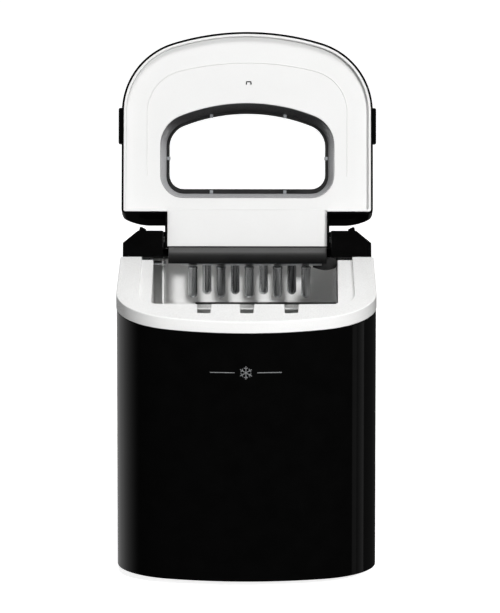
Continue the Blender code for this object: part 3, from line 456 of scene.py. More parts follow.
def tile(left, near, right, far, corner, low, high, steps=8):
    """A flat plate with round corners."""
    return slab(round_rectangle((left, near), (right, far), corner, steps), low, high)


def frame_slab(outer, inner, low, high):
    return lofted([(outer, low), (outer, high), (inner, high), (inner, low)], closed=True)


def across(profile, half, middle=0.0):
    """A profile of (y, z) points, extruded along X to both sides of the middle."""
    work = lofted([(profile, -half), (profile, half)])
    return moved(work, Matrix(((0, 0, 1, middle), (1, 0, 0, 0), (0, 1, 0, 0), (0, 0, 0, 1))))


def turned(profile, place, axis=(0, 0, 1), sides=48):
    """A profile of (radius, height) points, closed on the axis at both ends, turned about it."""
    work = bmesh.new()
    rings = []
    for radius, height in profile:
        if radius < 1e-7:
            rings.append([work.verts.new((0, 0, height))])
            continue
        angles = [2 * pi * i / sides for i in range(sides)]
        rings.append([work.verts.new((radius * cos(a), radius * sin(a), height)) for a in angles])
    for lower, upper in zip(rings, rings[1:]):
        for i in range(sides):
            j = (i + 1) % sides
            face = [
                lower[i % len(lower)], lower[j % len(lower)], upper[j % len(upper)], upper[i % len(upper)]
            ]
            work.faces.new(list(dict.fromkeys(face)))
    turn = Vector(axis).to_track_quat("Z", "Y").to_matrix().to_4x4()
    return moved(work, Matrix.Translation(place) @ turn)


def merged(*works):
    """Several bmeshes as one, left as separate shells."""
    whole = bmesh.new()
    for work in works:
        mesh = bpy.data.meshes.new("work")
        work.to_mesh(mesh)
        work.free()
        whole.from_mesh(mesh)
        bpy.data.meshes.remove(mesh)
    return whole


def tube(points, radius, smooth=2, sides=16, closed=False):
    """A round tube along straight runs, its corners softened by cutting them smooth times."""
    points = [Vector(point) for point in points]
    for _ in range(smooth):
        cut = [] if closed else [points[0]]
        for a, b in zip(points, points[1:] + (points[:1] if closed else [])):
            cut += [a.lerp(b, 0.25), a.lerp(b, 0.75)]
        points = cut if closed else cut + [points[-1]]
    work = bmesh.new()
    count = len(points)
    normal = None
    rings = []
    for i, point in enumerate(points):
        before = points[i - 1] if closed or i else point
        after = points[(i + 1) % count] if closed or i < count - 1 else point
        along = (after - before).normalized()
        if normal is None:
            normal = along.orthogonal().normalized()
        normal = (normal - along * normal.dot(along)).normalized()
        side = along.cross(normal)
        angles = [2 * pi * k / sides for k in range(sides)]
        rings.append([work.verts.new(point + radius * (normal * cos(a) + side * sin(a))) for a in angles])
    pairs = list(zip(rings, rings[1:])) + ([(rings[-1], rings[0])] if closed else [])
    for first, second in pairs:
        for k in range(sides):
            m = (k + 1) % sides
            work.faces.new((first[k], first[m], second[m], second[k]))
    if not closed:
        work.faces.new(rings[0])
        work.faces.new(rings[-1])
    return work


def tub(low, high, corner, fillet, wall, draft=0.0):
    """An open tub with round corners, a round foot inside and out, and a rolled rim."""
    low, high = Vector(low), Vector(high)
    depth = high.z - low.z

    def outline(inset):
        return round_rectangle(
            (low.x + inset, low.y + inset), (high.x - inset, high.y - inset), max(corner - inset, 0.0012)
        )

    def side(radius, bottom, offset):
        for i in range(7):
            angle = pi / 2 * i / 6
            z = bottom + radius * (1 - cos(angle))
            lean = draft * (high.z - z) / depth
            yield offset + lean + radius * (1 - sin(angle)), z

    outer = list(side(fillet, low.z, 0.0)) + [(0.0, high.z - wall / 3)]
    rim = [(wall * 0.25, high.z), (wall * 0.75, high.z)]
    inner = [(wall, high.z - wall / 3)] + list(
        reversed(list(side(max(fillet - wall, 0.001), low.z + wall, wall)))
    )
    return lofted([(outline(inset), z) for inset, z in outer + rim + inner])


def cad_copy(node):
    """A carried node's own solid, welded."""
    source = NODES[node].data
    work = bmesh.new()
    points = [work.verts.new(vertex.co) for vertex in source.vertices]
    for polygon in source.polygons:
        corners = [points[i] for i in polygon.vertices]
        if work.faces.get(corners) is None:
            work.faces.new(corners)
    bmesh.ops.remove_doubles(work, verts=work.verts, dist=2e-6)
    return work


def refine(node, slot, width, segments, name):
    """A carried node again, with its edges rounded."""
    piece(name, soften(cad_copy(node), width, segments), slot, node)


# ---------------------------------------------------------------- casing, ring and housing
def above(y, z, slope):
    """All above the plane through (y, z) that rises towards the back by slope."""
    return moved(block((-0.4, -0.7, 0), (0.4, 0.7, 0.3)), pose((0, y, z), slope))


def below(y, z, slope):
    return moved(block((-0.4, -0.7, -0.3), (0.4, 0.7, 0)), pose((0, y, z), slope))


def casing():
    """The gloss body: a thin drawn shell with rolled edges, open at the top, the back and the drain."""
    foot = FOOT_HEIGHT - 0.001
    shell = frame_slab(bow_outline(BODY_PLAN), bow_outline(BODY_PLAN, WALL), foot, 0.27)
    cuts = [
        above(FRONT_Y, CASING_FRONT_TOP, CASING_SLOPE),
        block((-0.2, HOUSING_Y, CASING_BACK_TOP), (0.2, 0.3, 0.4)),
        block((-PANEL_HALF, 0.15, PANEL_LOW), (PANEL_HALF, 0.3, PANEL_HIGH)),
        rod(DRAIN_BORE, (-0.2, DRAIN.y, DRAIN.z), (-0.1, DRAIN.y, DRAIN.z)),
    ]
    work = soften(carve(shell, cuts), 0.0006, 2, 50)
    piece("casing_shell", work, "gloss_black", "outer_casing")


def top_ring():
    """The white rim round the opening, with rounded edges, a shallow ledge and three notches."""
    plan = BODY_PLAN._replace(half=BODY_PLAN.half + 0.0004, front=FRONT_Y - 0.0004, back=0.02)
    ledge = slab(bow_outline(plan, RING_WIDTH), 0.0, 0.1)
    lean = pose((0, FRONT_Y, RING_FRONT_TOP - LEDGE_DROP), RING_SLOPE)
    moved(ledge, lean @ Matrix.Translation((0, -FRONT_Y, 0)))
    cuts = [
        above(FRONT_Y, RING_FRONT_TOP, RING_SLOPE),
        below(FRONT_Y, CASING_FRONT_TOP + GAP, CASING_SLOPE),
        block((-0.2, HOUSING_Y - GAP, 0.2), (0.2, 0.1, 0.4)),
        ledge,
        tile(OPENING_LEFT, OPENING_FRONT, OPENING_RIGHT, 0.1, 0.004, 0.2, 0.4),
    ]
    for x in RING_NOTCHES:
        cuts.append(tile(x - 0.0062, -0.1485, x + 0.0062, -0.11, 0.0015, 0.2, 0.4, 4))
    work = soften(carve(slab(bow_outline(plan), 0.23, 0.3), cuts), 0.0009, 3, 30)
    piece("ring_moulding", work, "white_abs", "top_ring")
    # A thin black rubber strip along the opening's front edge: painted shade, standing in for the dark gap down
    # into the tank.
    edge = RING_FRONT_TOP - LEDGE_DROP + tan(RING_SLOPE) * (OPENING_FRONT - FRONT_Y)
    lip = [(OPENING_FRONT + 0.0002, edge - 0.0006), (OPENING_FRONT + 0.0002, edge + 0.001)]
    lip += [
        (OPENING_FRONT + 0.0006, edge + 0.0015), (OPENING_FRONT + 0.0012, edge + 0.0012),
        (OPENING_FRONT + 0.0014, edge - 0.0006)
    ]
    piece("ring_gap_shade_strip", across(lip, 0.065, 0.018), "rubber")


def housing_body(inset):
    """The rear housing's outside or its hollow: leaning front, chamfered sides, falling deck."""
    plan = BODY_PLAN._replace(half=BODY_PLAN.half - 0.0018, back=BACK_Y - 0.0004)
    shape = slab(bow_outline(plan, inset), CASING_BACK_TOP + GAP - (0.02 if inset else 0.0), 0.32)
    lean = pose((0, HOUSING_Y, RING_BACK_TOP), -HOUSING_LEAN)
    cuts = [
        moved(block((-0.3, -0.4, -0.3), (0.3, inset, 0.3)), lean),
        block((-0.3, -0.4, 0.0), (0.3, HOUSING_Y + inset, 0.4)),
        above(RIDGE_Y, RIDGE_Z - inset, -DECK_SLOPE),
    ]
    chamfer = atan2(0.0135, 0.0165)
    for side in (-1, 1):
        place = Matrix.Translation((side * 0.1172, RIDGE_Y, RING_BACK_TOP + 0.0115))
        turn = Matrix.Rotation(-DECK_SLOPE, 4, "X") @ Matrix.Rotation(side * chamfer, 4, "Y")
        cuts.append(moved(block((-0.3, -0.4, -inset), (0.3, 0.4, 0.2)), place @ turn))
    return carve(shape, cuts)


def on_deck(work):
    """From the deck's own frame, where Y runs back along it and Z stands off it."""
    return moved(work, DECK_FRAME)


def rear_housing():
    hollow = carve(
        housing_body(WALL),
        [
            block(
                (-NOTCH_HALF - WALL, 0.0065, NOTCH_FLOOR - WALL),
                (NOTCH_HALF + WALL, NOTCH_BACK_Y + WALL, 0.4)
            ),
            block((-NOTCH_HALF - WALL, -0.02, NOTCH_FLOOR - WALL), (-NOTCH_HALF, 0.03, 0.4)),
            block((NOTCH_HALF, -0.02, NOTCH_FLOOR - WALL), (NOTCH_HALF + WALL, 0.03, 0.4)),
        ],
    )
    cuts = [
        hollow,
        block((-NOTCH_HALF, -0.03, NOTCH_FLOOR), (NOTCH_HALF, NOTCH_BACK_Y, 0.4)),
        block((-NOTCH_HALF, -0.03, 0.2), (NOTCH_HALF, 0.0065, 0.4)),
        block((-0.113, -0.03, 0.2), (0.113, 0.001, 0.2772)),
        on_deck(tile(-0.06, 0.046, 0.06, 0.118, 0.005, -0.01, 0.01)),
    ]
    for side in (-1, 1):
        cuts.append(rod(0.0032, (side * 0.07, HINGE.y, HINGE.z), (side * 0.09, HINGE.y, HINGE.z), 24))
    work = soften(carve(housing_body(0.0), cuts), 0.0007, 2, 25)
    piece("housing_moulding", work, "gloss_black", "rear_housing")
    for side, name in ((-1, "left"), (1, "right")):
        peak = mm((101.8, -3), (95.6, -3), (95.6, -0.4), (99, 1.5), (100.8, 1.7))
        outline = [(side * px, RIDGE_Z + pz) for px, pz in peak]
        lip = moved(slab(outline, -0.0085, -0.004), UPRIGHT)
        piece(f"housing_lip_{name}", soften(lip, 0.0004), "gloss_black")


# ---------------------------------------------------------------- lid
def lid_roll(height):
    """How far the lid's side has rolled in at a height over its skirt."""
    share = max(0.0, (height - 0.01) / (LID_HEIGHT - 0.01))
    return 0.0006 * min(height / 0.01, 1.0) + 0.0214 * (1 - (1 - min(share, 1.0) ** 1.4) ** 0.62)


def lid_levels(inset, top):
    """Outlines of the lid from its skirt up, its back wall leaning out as it rises."""
    heights = [0.0, 0.004, 0.008] + [0.01 + (top - 0.01) * (1 - (1 - i / 14) ** 1.7) for i in range(1, 15)]
    for height in heights:
        rolled = height * LID_HEIGHT / top
        roll = lid_roll(rolled)
        back = LID_BACK + tan(radians(22.1)) * height + roll
        plan = LID_PLAN._replace(back=back, back_corner=0.004 + roll)
        yield bow_outline(plan, inset + roll), LID_SKIRT + height


def tongue_profile():
    profile = [(-0.025, LID_SKIRT), (0.0089, LID_SKIRT)]
    start = asin(LID_SKIRT / TONGUE_RADIUS)
    profile += list(arc((0, 0), TONGUE_RADIUS, start, pi / 2, 24))[1:]
    return profile + [(-0.0163, LID_SKIRT + LID_HEIGHT - 0.0002)]


def lid_shell():
    """The gloss lid: skirt, rolled crown, the tongue that turns on the hinge, and a grip on each side."""
    shell = lofted(list(lid_levels(0.0, LID_HEIGHT)))
    room = lofted(
        [(bow_outline(LID_PLAN, 0.002), LID_SKIRT - 0.001)] + list(lid_levels(0.002, LID_HEIGHT - WALL))
    )
    rebate = slab(bow_outline(LID_PLAN, 0.0013), LID_SKIRT - 0.001, LID_SKIRT + 0.0016)
    tongue = across(tongue_profile(), TONGUE_HALF)
    tongue_room = block(
        (-TONGUE_HALF + 0.002, -0.06, -0.04), (TONGUE_HALF - 0.002, 0.0072, LID_SKIRT + LINER_RISE + 0.0025)
    )
    window = slab(bow_outline(WINDOW_PLAN, 0.0048), 0.0, 0.03)
    grips = []
    for side in (-1, 1):
        low, high = sorted((side * 0.1165, side * 0.1218))
        grip = block(
            (low, LID_BACK - 0.101, LID_SKIRT + 0.0012), (high, LID_BACK - 0.0665, LID_SKIRT + 0.0085)
        )
        grips.append(soften(grip, 0.0016, 3))
    bores = []
    for side in (-1, 1):
        bores.append(rod(0.0029, (side * (TONGUE_HALF - 0.0021), 0, 0), (side * 0.1, 0, 0), 24))
    hollow = carve(shell, [room, rebate])
    work = carve(hollow, [tongue_room, window, *bores], [tongue, *grips])
    piece("lid_crown", moved(work, LID_FRAME), "gloss_black", "lid_shell", "lid", sharp=28)


def lid_liner():
    """The white inner panel: a flange over the lid's rim, a step, the panel and its run over the tongue."""
    rise = LID_SKIRT + LINER_RISE
    strip = TONGUE_HALF - 0.0022
    flange = frame_slab(
        bow_outline(LID_PLAN, 0.0019), bow_outline(LID_PLAN, 0.0042), LID_SKIRT, LID_SKIRT + 0.0013
    )
    wall = frame_slab(
        bow_outline(LID_PLAN, 0.0024), bow_outline(LID_PLAN, 0.0042), LID_SKIRT + 0.0006, rise + 0.002
    )
    panel = slab(bow_outline(LID_PLAN, 0.0024), rise, rise + 0.0022)
    run = block((-strip, -0.06, rise), (strip, 0.0069, rise + 0.0022))
    gate = block((-strip, LID_BACK - 0.01, LID_SKIRT - 0.01), (strip, 0.02, rise))
    window = slab(bow_outline(WINDOW_PLAN), -0.02, 0.03)
    work = carve(panel, [gate, window], [flange, wall, run])
    soften(work, 0.0005, 2, 50)
    piece("liner_moulding", moved(work, LID_FRAME), "white_abs", "lid_liner", "lid", look=LINER_SHADED_LOOK)
    rib_plan = Plan(0.0945, 0.26, 0.04, LID_BACK - 0.1447, LID_BACK, 0.004, 0.0)
    end = LID_BACK - 0.0359
    points = [(x, y) for x, y in bow_outline(rib_plan, 0.0, 12) if y < end]
    points.sort(key=lambda point: atan2(point[0], LID_BACK - 0.05 - point[1]))
    path = [(-0.0945, end, rise)] + [(x, y, rise) for x, y in points] + [(0.0945, end, rise)]
    rib = moved(tube(path, 0.00055, 1, 10), LID_FRAME)
    piece("liner_rib", rib, "white_abs", body="lid", look=LINER_SHADED_LOOK)
    y, z = LID_BACK - 0.1237, rise - 0.0001
    catch = [(-0.0009, y, z), (-0.0009, y - 0.0027, z), (0.0033, y - 0.0027, z), (0.0033, y, z)]
    hook = moved(tube(catch, 0.00068, 0, 10), LID_FRAME)
    piece("liner_catch", hook, "satin_black", body="lid")


def lid_window():
    """The sloping bezel, the black gasket inside it, the clear pane and the clips that hold it."""
    rise = LID_SKIRT + LINER_RISE
    bezel = ring_of(
        WINDOW_PLAN,
        [
            (0.0007, rise - 0.0003),
            (0.0012, rise + 0.0008),
            (0.0057, 0.0106),
            (0.005, 0.0114),
            (0.0002, rise + 0.0026),
            (0.0002, rise - 0.0001),
        ],
    )
    # The bezel's grey is painted shade, darker towards the window's front end.
    piece("window_bezel", moved(bezel, LID_FRAME), "grey_plastic", "lid_window", "lid", look=BEZEL_PAINTED_SHADE_LOOK)
    inner_plan = WINDOW_PLAN._replace(back=WINDOW_PLAN.back - 0.0016)
    outer = mm((8.4, 12.2), (5.4, 12.2), (5.9, 10.4), (6.4, 10))
    inner = mm((8.2, 10.2), (8.6, 10.8))
    sections = [(bow_outline(WINDOW_PLAN, inset), z) for inset, z in outer]
    sections += [(bow_outline(inner_plan, inset), z) for inset, z in inner]
    gasket = lofted(sections, closed=True)
    piece("window_gasket", moved(gasket, LID_FRAME), "rubber", body="lid")
    rounds = mm((5.6, 12.5), (5.3, 12.8), (5.3, 14.2), (5.8, 14.7))
    pane = lofted([(bow_outline(WINDOW_PLAN, inset), z) for inset, z in rounds])
    piece("window_pane", moved(pane, LID_FRAME), "clear_window", body="lid")
    front, back = WINDOW_PLAN.front, WINDOW_PLAN.back
    clips = []
    for x, y, turn in (
        (-0.034, front + 0.0107, 0.1),
        (0.0355, front + 0.0107, -0.1),
        (-0.0745, (front + back) / 2 + 0.006, pi / 2),
        (0.0745, (front + back) / 2 + 0.006, -pi / 2),
        (-0.034, back - 0.0073, 0.0),
        (0.0355, back - 0.0073, 0.0),
    ):
        clip = soften(block((-0.0016, -0.0017, 0.0094), (0.0016, 0.0017, 0.0112)), 0.0004)
        clips.append(moved(clip, pose((x, y, 0), turn, "Z")))
    piece("window_clips", moved(merged(*clips), LID_FRAME), "grey_plastic", body="lid")


def lid_pins():
    for name, side in (("lid_hinge_pin_left", -1), ("lid_hinge_pin_right", 1)):
        start, end = side * (TONGUE_HALF - 0.0019), side * 0.083
        profile = [(0, 0), (0.0022, 0), (0.0026, 0.0004), (0.0026, abs(end - start) - 0.0004)]
        profile += [(0.0022, abs(end - start)), (0, abs(end - start))]
        pin = turned(profile, (start, 0, 0), (side, 0, 0), 32)
        piece(f"{name}_turned", moved(pin, LID_FRAME), "steel", name, "lid")


# ---------------------------------------------------------------- evaporator and water tray
MECH_X = 0.0022
ROW_FRONT_Y, ROW_BACK_Y = -0.0185, -0.0015
FINGER_PITCH = 0.0266
FINGER_RADIUS = 0.0046
FINGER_TOP, FINGER_TIP = 0.2722, 0.2418
LOOP_Z = 0.276
TRAY_AXIS = Vector((MECH_X, 0.004, 0.2711))
TRAY_HALF = 0.0825
TRAY_TILT = radians(88)
TRAY_FRAME = pose(TRAY_AXIS, TRAY_TILT)


def evaporator():
    """The plated fingers, each with a brazed collar, under the tube loop."""
    number = 1
    height = FINGER_TOP - FINGER_TIP
    for count, y in ((5, ROW_FRONT_Y), (4, ROW_BACK_Y)):
        for i in range(count):
            x = MECH_X + (i - (count - 1) / 2) * FINGER_PITCH
            profile = [
                (0, 0), (FINGER_RADIUS - 0.0004, 0), (FINGER_RADIUS, -0.0004), (FINGER_RADIUS, -0.002)
            ]
            profile += [
                (FINGER_RADIUS - 0.0003, -0.0023), (FINGER_RADIUS - 0.0002, -height + FINGER_RADIUS + 0.001)
            ]
            tip = arc((0, -height + FINGER_RADIUS), FINGER_RADIUS - 0.0002, -0.05, -pi / 2, 12)
            profile += [(max(radius, 0.0), z) for radius, z in tip]
            profile[-1] = (0, -height + 0.0002)
            finger = turned(profile, (x, y, FINGER_TOP), sides=40)
            piece(f"ice_finger_{number}", finger, "plated_finger", f"evaporator_finger_{number}")
            number += 1
    row = 2 * FINGER_PITCH + 0.007
    left, right = MECH_X - row, MECH_X + row
    exit_y, exit_z = -0.0028, 0.273
    loop = [(right + 0.008, ROW_FRONT_Y, LOOP_Z), (left, ROW_FRONT_Y, LOOP_Z)]
    loop += [(left - 0.006, (ROW_FRONT_Y + ROW_BACK_Y) / 2, LOOP_Z)]
    loop += [(left, ROW_BACK_Y, LOOP_Z), (right + 0.004, ROW_BACK_Y, LOOP_Z), (0.072, exit_y, exit_z)]
    loop += [(0.0985, exit_y, exit_z)]
    piece("evaporator_tube", tube(loop, 0.003, 3), "steel", "evaporator_loop")


def brow_profile(inset, bottom, crown):
    """The cover's section: a flat back half, then a brow that rolls down to its front lip."""
    points = [(0.031 - inset, bottom), (0.031 - inset, -inset)]
    for i in range(13):
        angle = pi / 2 * i / 12
        y = 0.015 - (0.015 - inset) * sin(angle)
        points.append((y, crown - 0.0062 + (0.0062 - inset) * cos(angle)))
    return points


def evaporator_cover():
    """The moulded cover over the tube loop: a rounded brow, hollow under, with a raised bead along it."""
    cover = across(brow_profile(0.0, -0.0052, 0.001), 0.0745)
    room = across([*brow_profile(0.0016, -0.012, 0.0), (0.0016, -0.012)], 0.073)
    outlet = block((0.06, 0.004, -0.012), (0.09, 0.0294, -0.003))
    bead = across(mm((18.5, -0.4), (18.5, 0.6), (29, 0.6), (29, -0.4)), 0.07)
    work = soften(carve(cover, [room, outlet], [bead]), 0.0004, 2, 50)
    place = pose((0.0005, -0.0258, 0.281), RING_SLOPE)
    piece("evaporator_hood", moved(work, place), "satin_black", "evaporator_cover", look=HOOD_LOOK)
    sleeve = mm((64, -9.5, 275), (69, -10.5, 273.5), (74.5, -8, 272.2), (81, -2.8, 272.8))
    piece("evaporator_sleeve", tube(sleeve, 0.0058, 2, 24), "rubber")


def water_tray():
    """The round-cornered trough, tipped back behind the fingers, with ears, axle pin and drive shaft."""
    trough = tub((-TRAY_HALF, -0.046, -0.0335), (TRAY_HALF, 0.0032, -0.0085), 0.007, 0.006, 0.0015)
    ears = []
    for side in (-1, 1):
        low, high = sorted((side * (TRAY_HALF - 0.0015), side * TRAY_HALF))
        ears.append(soften(block((low, -0.0032, -0.012), (high, 0.0032, 0)), 0.0002, 1))
        ears.append(rod(0.0032, (low, 0, 0), (high, 0, 0), 32))
    bore = rod(0.002, (-0.1, 0, 0), (0.1, 0, 0), 24)
    work = carve(trough, [bore], ears)
    piece("tray_moulding", moved(work, TRAY_FRAME), "white_abs", "water_tray", "tilting_tray")
    ends = {"tray_pivot_pin": (0.0785, 0.009), "tray_drive_shaft": (-0.0785, -0.014)}
    for name, (start, run) in ends.items():
        length = abs(run)
        profile = [
            (0, 0), (0.0014, 0), (0.0017, 0.0003), (0.0017, length - 0.0003), (0.0014, length), (0, length)
        ]
        pin = turned(profile, (start, 0, 0), (copysign(1, run), 0, 0), 32)
        piece(f"{name}_turned", moved(pin, TRAY_FRAME), "steel", name, "tilting_tray")


def basket():
    """The lift-out basket: a round-cornered tub with drain slots and a finger opening, its rim rolled."""
    low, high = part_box("ice_basket")
    body = tub(low, high, 0.01, 0.008, 0.002, 0.0015)
    middle = (low.x + high.x) / 2
    cuts = []
    for i in range(-3, 4):
        x = middle + i * 0.021
        slot = round_rectangle((x - 0.003, low.y + 0.01), (x + 0.003, high.y - 0.0105), 0.0028)
        cuts.append(slab(slot, low.z - 0.01, low.z + 0.005))
    grip = round_rectangle((-0.03, 0.168), (0.027, 0.18), 0.0055)
    opening = moved(slab(grip, 0.115, 0.13), UPRIGHT)
    work = carve(body, [*cuts, opening])
    piece("basket_moulding", work, "grey_basket", "ice_basket", "basket")


# ---------------------------------------------------------------- tank, chute, sensors and gear motor
def tank():
    """The white tub: round corners, ledges for the basket, bearing slots, and a level mark on its wall."""
    low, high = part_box("inner_tank")
    wall = 0.003
    room_low = low + Vector((wall, wall, wall))
    room_high = Vector((high.x - wall, high.y - wall, 0.4))
    cuts = [
        block(room_low, room_high, 0.008, 5),
        above(FRONT_Y, CASING_FRONT_TOP - GAP, CASING_SLOPE),
        block((-0.2, TRAY_AXIS.y - 0.004, TRAY_AXIS.z - 0.012), (0.2, TRAY_AXIS.y + 0.004, 0.4)),
        rod(0.0042, (-0.2, DRAIN.y, 0.058), (0, DRAIN.y, 0.058), 24),
        rod(0.0036, (0.08, 0.042, 0.25), (0.2, 0.042, 0.25), 24),
    ]
    outside = tile(low.x, low.y, high.x, high.y, 0.006, low.z, 0.3)
    shelves = []
    for start, end in (
        (room_low.x - 0.001, room_low.x + 0.006), (room_high.x - 0.006, room_high.x + 0.001)
    ):
        shelves.append(soften(block((start, -0.138, 0.094), (end, -0.042, 0.0997)), 0.0008))
    work = carve(carve(outside, cuts), joins=shelves)
    piece("tank_moulding", work, "white_abs", "inner_tank")
    marks = []
    for x in (-0.03, 0.0, 0.03):
        mark = block((x, room_high.y - 0.0006, 0.078), (x + 0.022, room_high.y + 0.0002, 0.0792))
        marks.append(soften(mark, 0.0002))
    piece("tank_level_marks", merged(*marks), "grey_plastic")


def chute():
    """The slatted slope under the tray: round-ended slots between low ribs."""
    low_x, high_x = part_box("ice_chute")[0].x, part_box("ice_chute")[1].x
    sheet = tile(low_x, -0.045, high_x, 0.042, 0.003, -0.002, 0.0)
    slots, ribs = [], []
    for i in range(-4, 5):
        x = MECH_X + i * 0.018
        slots.append(tile(x - 0.0035, -0.036, x + 0.0035, 0.034, 0.0033, -0.01, 0.01))
        for side in (-1, 1):
            middle = x + side * 0.0058
            ribs.append(tile(middle - 0.0006, -0.041, middle + 0.0006, 0.038, 0.0005, -0.001, 0.0012))
    work = carve(sheet, slots, ribs)
    moved(work, pose((0, 0, 0.205), radians(12)))
    piece("chute_moulding", work, "white_abs", "ice_chute")


def sensors():
    """Domed lenses in a collar, one on each wall of the tank."""
    for name in ("ice_sensor_emitter", "ice_sensor_receiver"):
        low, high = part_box(name)
        middle = (low + high) / 2
        side = -1 if middle.x > 0 else 1
        start = low.x if side > 0 else high.x
        dome = mm((0, 0), (3, 0), (3, 1)) + [
            (0.003 * cos(a), 0.001 + 0.0012 * sin(a)) for a in (0.3, 0.6, 0.9, 1.2, 1.4)
        ]
        lens = turned([*dome, (0, 0.0022)], (start, middle.y, middle.z), (side, 0, 0), 32)
        piece(f"{name}_lens", lens, "dark_lens", name)
        collar = mm((0, 0), (4.2, 0), (4.2, 0.9), (3.8, 1.3), (3.2, 1.3), (3.1, 0.5), (0, 0.5))
        ring = turned(collar, (start, middle.y, middle.z), (side, 0, 0), 32)
        piece(f"{name}_collar", ring, "grey_plastic")


def tray_drive():
    """The gear motor with its can and screws on the left, the bearing plate on the right."""
    refine("tray_bearing", "steel", 0.0004, 2, "tray_bearing_plate")
    refine("tilt_gearmotor", "grey_plastic", 0.0005, 2, "gearbox_case")
    low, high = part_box("tilt_gearmotor")
    middle = (low + high) / 2
    can = mm((0, 0), (7.5, 0), (8, 0.5), (8, 11), (7, 12), (0, 12))
    body = turned(can, (middle.x, middle.y + 0.004, low.z + 0.0004), (0, 0, -1), 48)
    piece("gearbox_motor", body, "steel")
    places = [(middle.x, low.y, low.z + 0.006), (middle.x, low.y, high.z - 0.006)]
    screw_heads("gearbox_screws", places, Matrix.Rotation(pi / 2, 4, "X"), 0.0018)


def screw_heads(name, places, turn, radius=0.003):
    """Pan heads with a cross recess, one at each place, standing along the turned Z."""
    dome = [(radius * cos(a), radius * (0.15 + 0.35 * sin(a))) for a in (0.0, 0.4, 0.8, 1.1, 1.35)]
    head = turned([(0, 0), (radius, 0), *dome, (0, radius * 0.5)], (0, 0, 0), sides=32)
    reach, slot = radius * 0.55, radius * 0.13
    cross = [
        block((-reach, -slot, radius * 0.25), (reach, slot, radius)),
        block((-slot, -reach, radius * 0.25), (slot, reach, radius)),
    ]
    head = carve(head, cross)
    copies = [moved(head.copy(), Matrix.Translation(place) @ turn) for place in places]
    head.free()
    piece(name, merged(*copies), "steel")


# ---------------------------------------------------------------- outside fittings
SLOT_PITCH = 0.013


def rear_panel():
    """The flat back: louvred slots in two fields, a gland hole, six screws and a blank plate."""
    low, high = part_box("rear_panel")
    sheet = moved(tile(low.x, low.z, high.x, high.z, 0.003, -high.y, -low.y), UPRIGHT)
    cuts, hoods = [], []
    fields = [(0.014, 0.088, 0.046 + i * SLOT_PITCH) for i in range(10)]
    fields += [(-0.088, -0.02, 0.15 + i * SLOT_PITCH) for i in range(5)]
    for left, right, z in fields:
        cuts.append(moved(tile(left, z, right, z + 0.006, 0.0028, -0.19, -0.17), UPRIGHT))
        hood = [(high.y - 0.0004, z + 0.0058), (high.y + 0.0016, z + 0.0048), (high.y + 0.002, z + 0.0056)]
        hood += [(high.y + 0.001, z + 0.0074), (high.y - 0.0004, z + 0.0082)]
        hoods.append(soften(across(hood, (right - left) / 2 + 0.001, (left + right) / 2), 0.0003))
    cuts.append(rod(0.0078, (GLAND.x, 0.16, GLAND.z), (GLAND.x, 0.2, GLAND.z), 32))
    work = soften(carve(sheet, cuts), 0.0004, 2, 50)
    piece("rear_panel_sheet", work, "satin_black", "rear_panel")
    piece("rear_louvres", merged(*hoods), "satin_black")
    heights = (low.z + 0.006, 0.134, high.z - 0.006)
    places = [(x, high.y, z) for x in (low.x + 0.005, high.x - 0.005) for z in heights]
    screw_heads("rear_screws", places, Matrix.Rotation(-pi / 2, 4, "X"))
    plate = moved(tile(-0.085, 0.078, -0.02, 0.118, 0.003, -high.y - 0.0003, -high.y + 0.0001), UPRIGHT)
    piece("rear_plate", plate, "silver_key")


GLAND = Vector((-0.075, BACK_Y, 0.045))


def gland():
    """The strain-relief bush: a flange inside, a ribbed collar outside, and its bore."""
    profile = mm((0, -6), (10, -6), (10.5, -5.5), (10.5, -2.8), (7.4, -2.8), (7.4, 0))
    profile += mm((9.6, 0), (9.6, 1.2), (8.8, 2.2), (7, 2.4))
    for i in range(3):
        z = 0.0024 + i * 0.002
        profile += [(0.0062, z + 0.0004), (0.0062, z + 0.001), (0.0068, z + 0.0013), (0.0068, z + 0.002)]
    profile += mm((6, 8.8), (0, 8.8))
    bore = rod(0.0038, (GLAND.x, 0.1, GLAND.z), (GLAND.x, 0.25, GLAND.z), 32)
    work = carve(turned(profile, GLAND, (0, 1, 0), 48), [bore])
    piece("gland_bush", work, "satin_black", "cord_gland")


def feet():
    """Rubber feet, hollowed underneath."""
    for name in ("foot_front_left", "foot_front_right", "foot_rear_left", "foot_rear_right"):
        low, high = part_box(name)
        middle = ((low.x + high.x) / 2, (low.y + high.y) / 2, 0)
        top = high.z
        profile = mm((0, 3), (4, 3), (4.4, 0.8), (5.2, 0), (6.6, 0), (7, 0.6))
        profile += [(0.0078, 0.0006), (0.0082, 0.0), (0.0102, 0.0), (0.011, 0.0008), (0.0127, top - 0.0012)]
        profile += [(0.013, top - 0.0006), (0.013, top), (0, top)]
        piece(f"{name}_tread", turned(profile, middle, sides=48), "rubber", name)


def drain_plug():
    """The plug on the left side: a dished cap with a finger bar, and its stem."""
    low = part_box("drain_plug")[0]
    face, radius = 0.0041, 0.0143
    profile = [
        (0, -0.0079), (0.0036, -0.0079), (0.004, -0.0075), (0.004, 0.0), (0.0138, 0.0), (radius, 0.0005)
    ]
    profile += [
        (radius, face - 0.001), (radius - 0.001, face), (radius - 0.003, face),
        (radius - 0.0042, face - 0.0012)
    ]
    profile += [(0, face - 0.0012)]
    start = Vector((low.x + face, DRAIN.y, DRAIN.z))
    cap = turned(profile, start, (-1, 0, 0), 64)
    reach = Vector((0, 0.0016, 0.01))
    bar = block(
        Vector((low.x - 0.0004, DRAIN.y, DRAIN.z)) - reach,
        Vector((low.x + 0.003, DRAIN.y, DRAIN.z)) + reach
    )
    work = carve(cap, joins=[soften(bar, 0.0007)])
    piece("drain_cap_moulding", work, "satin_black", "drain_plug", "drain_cap")


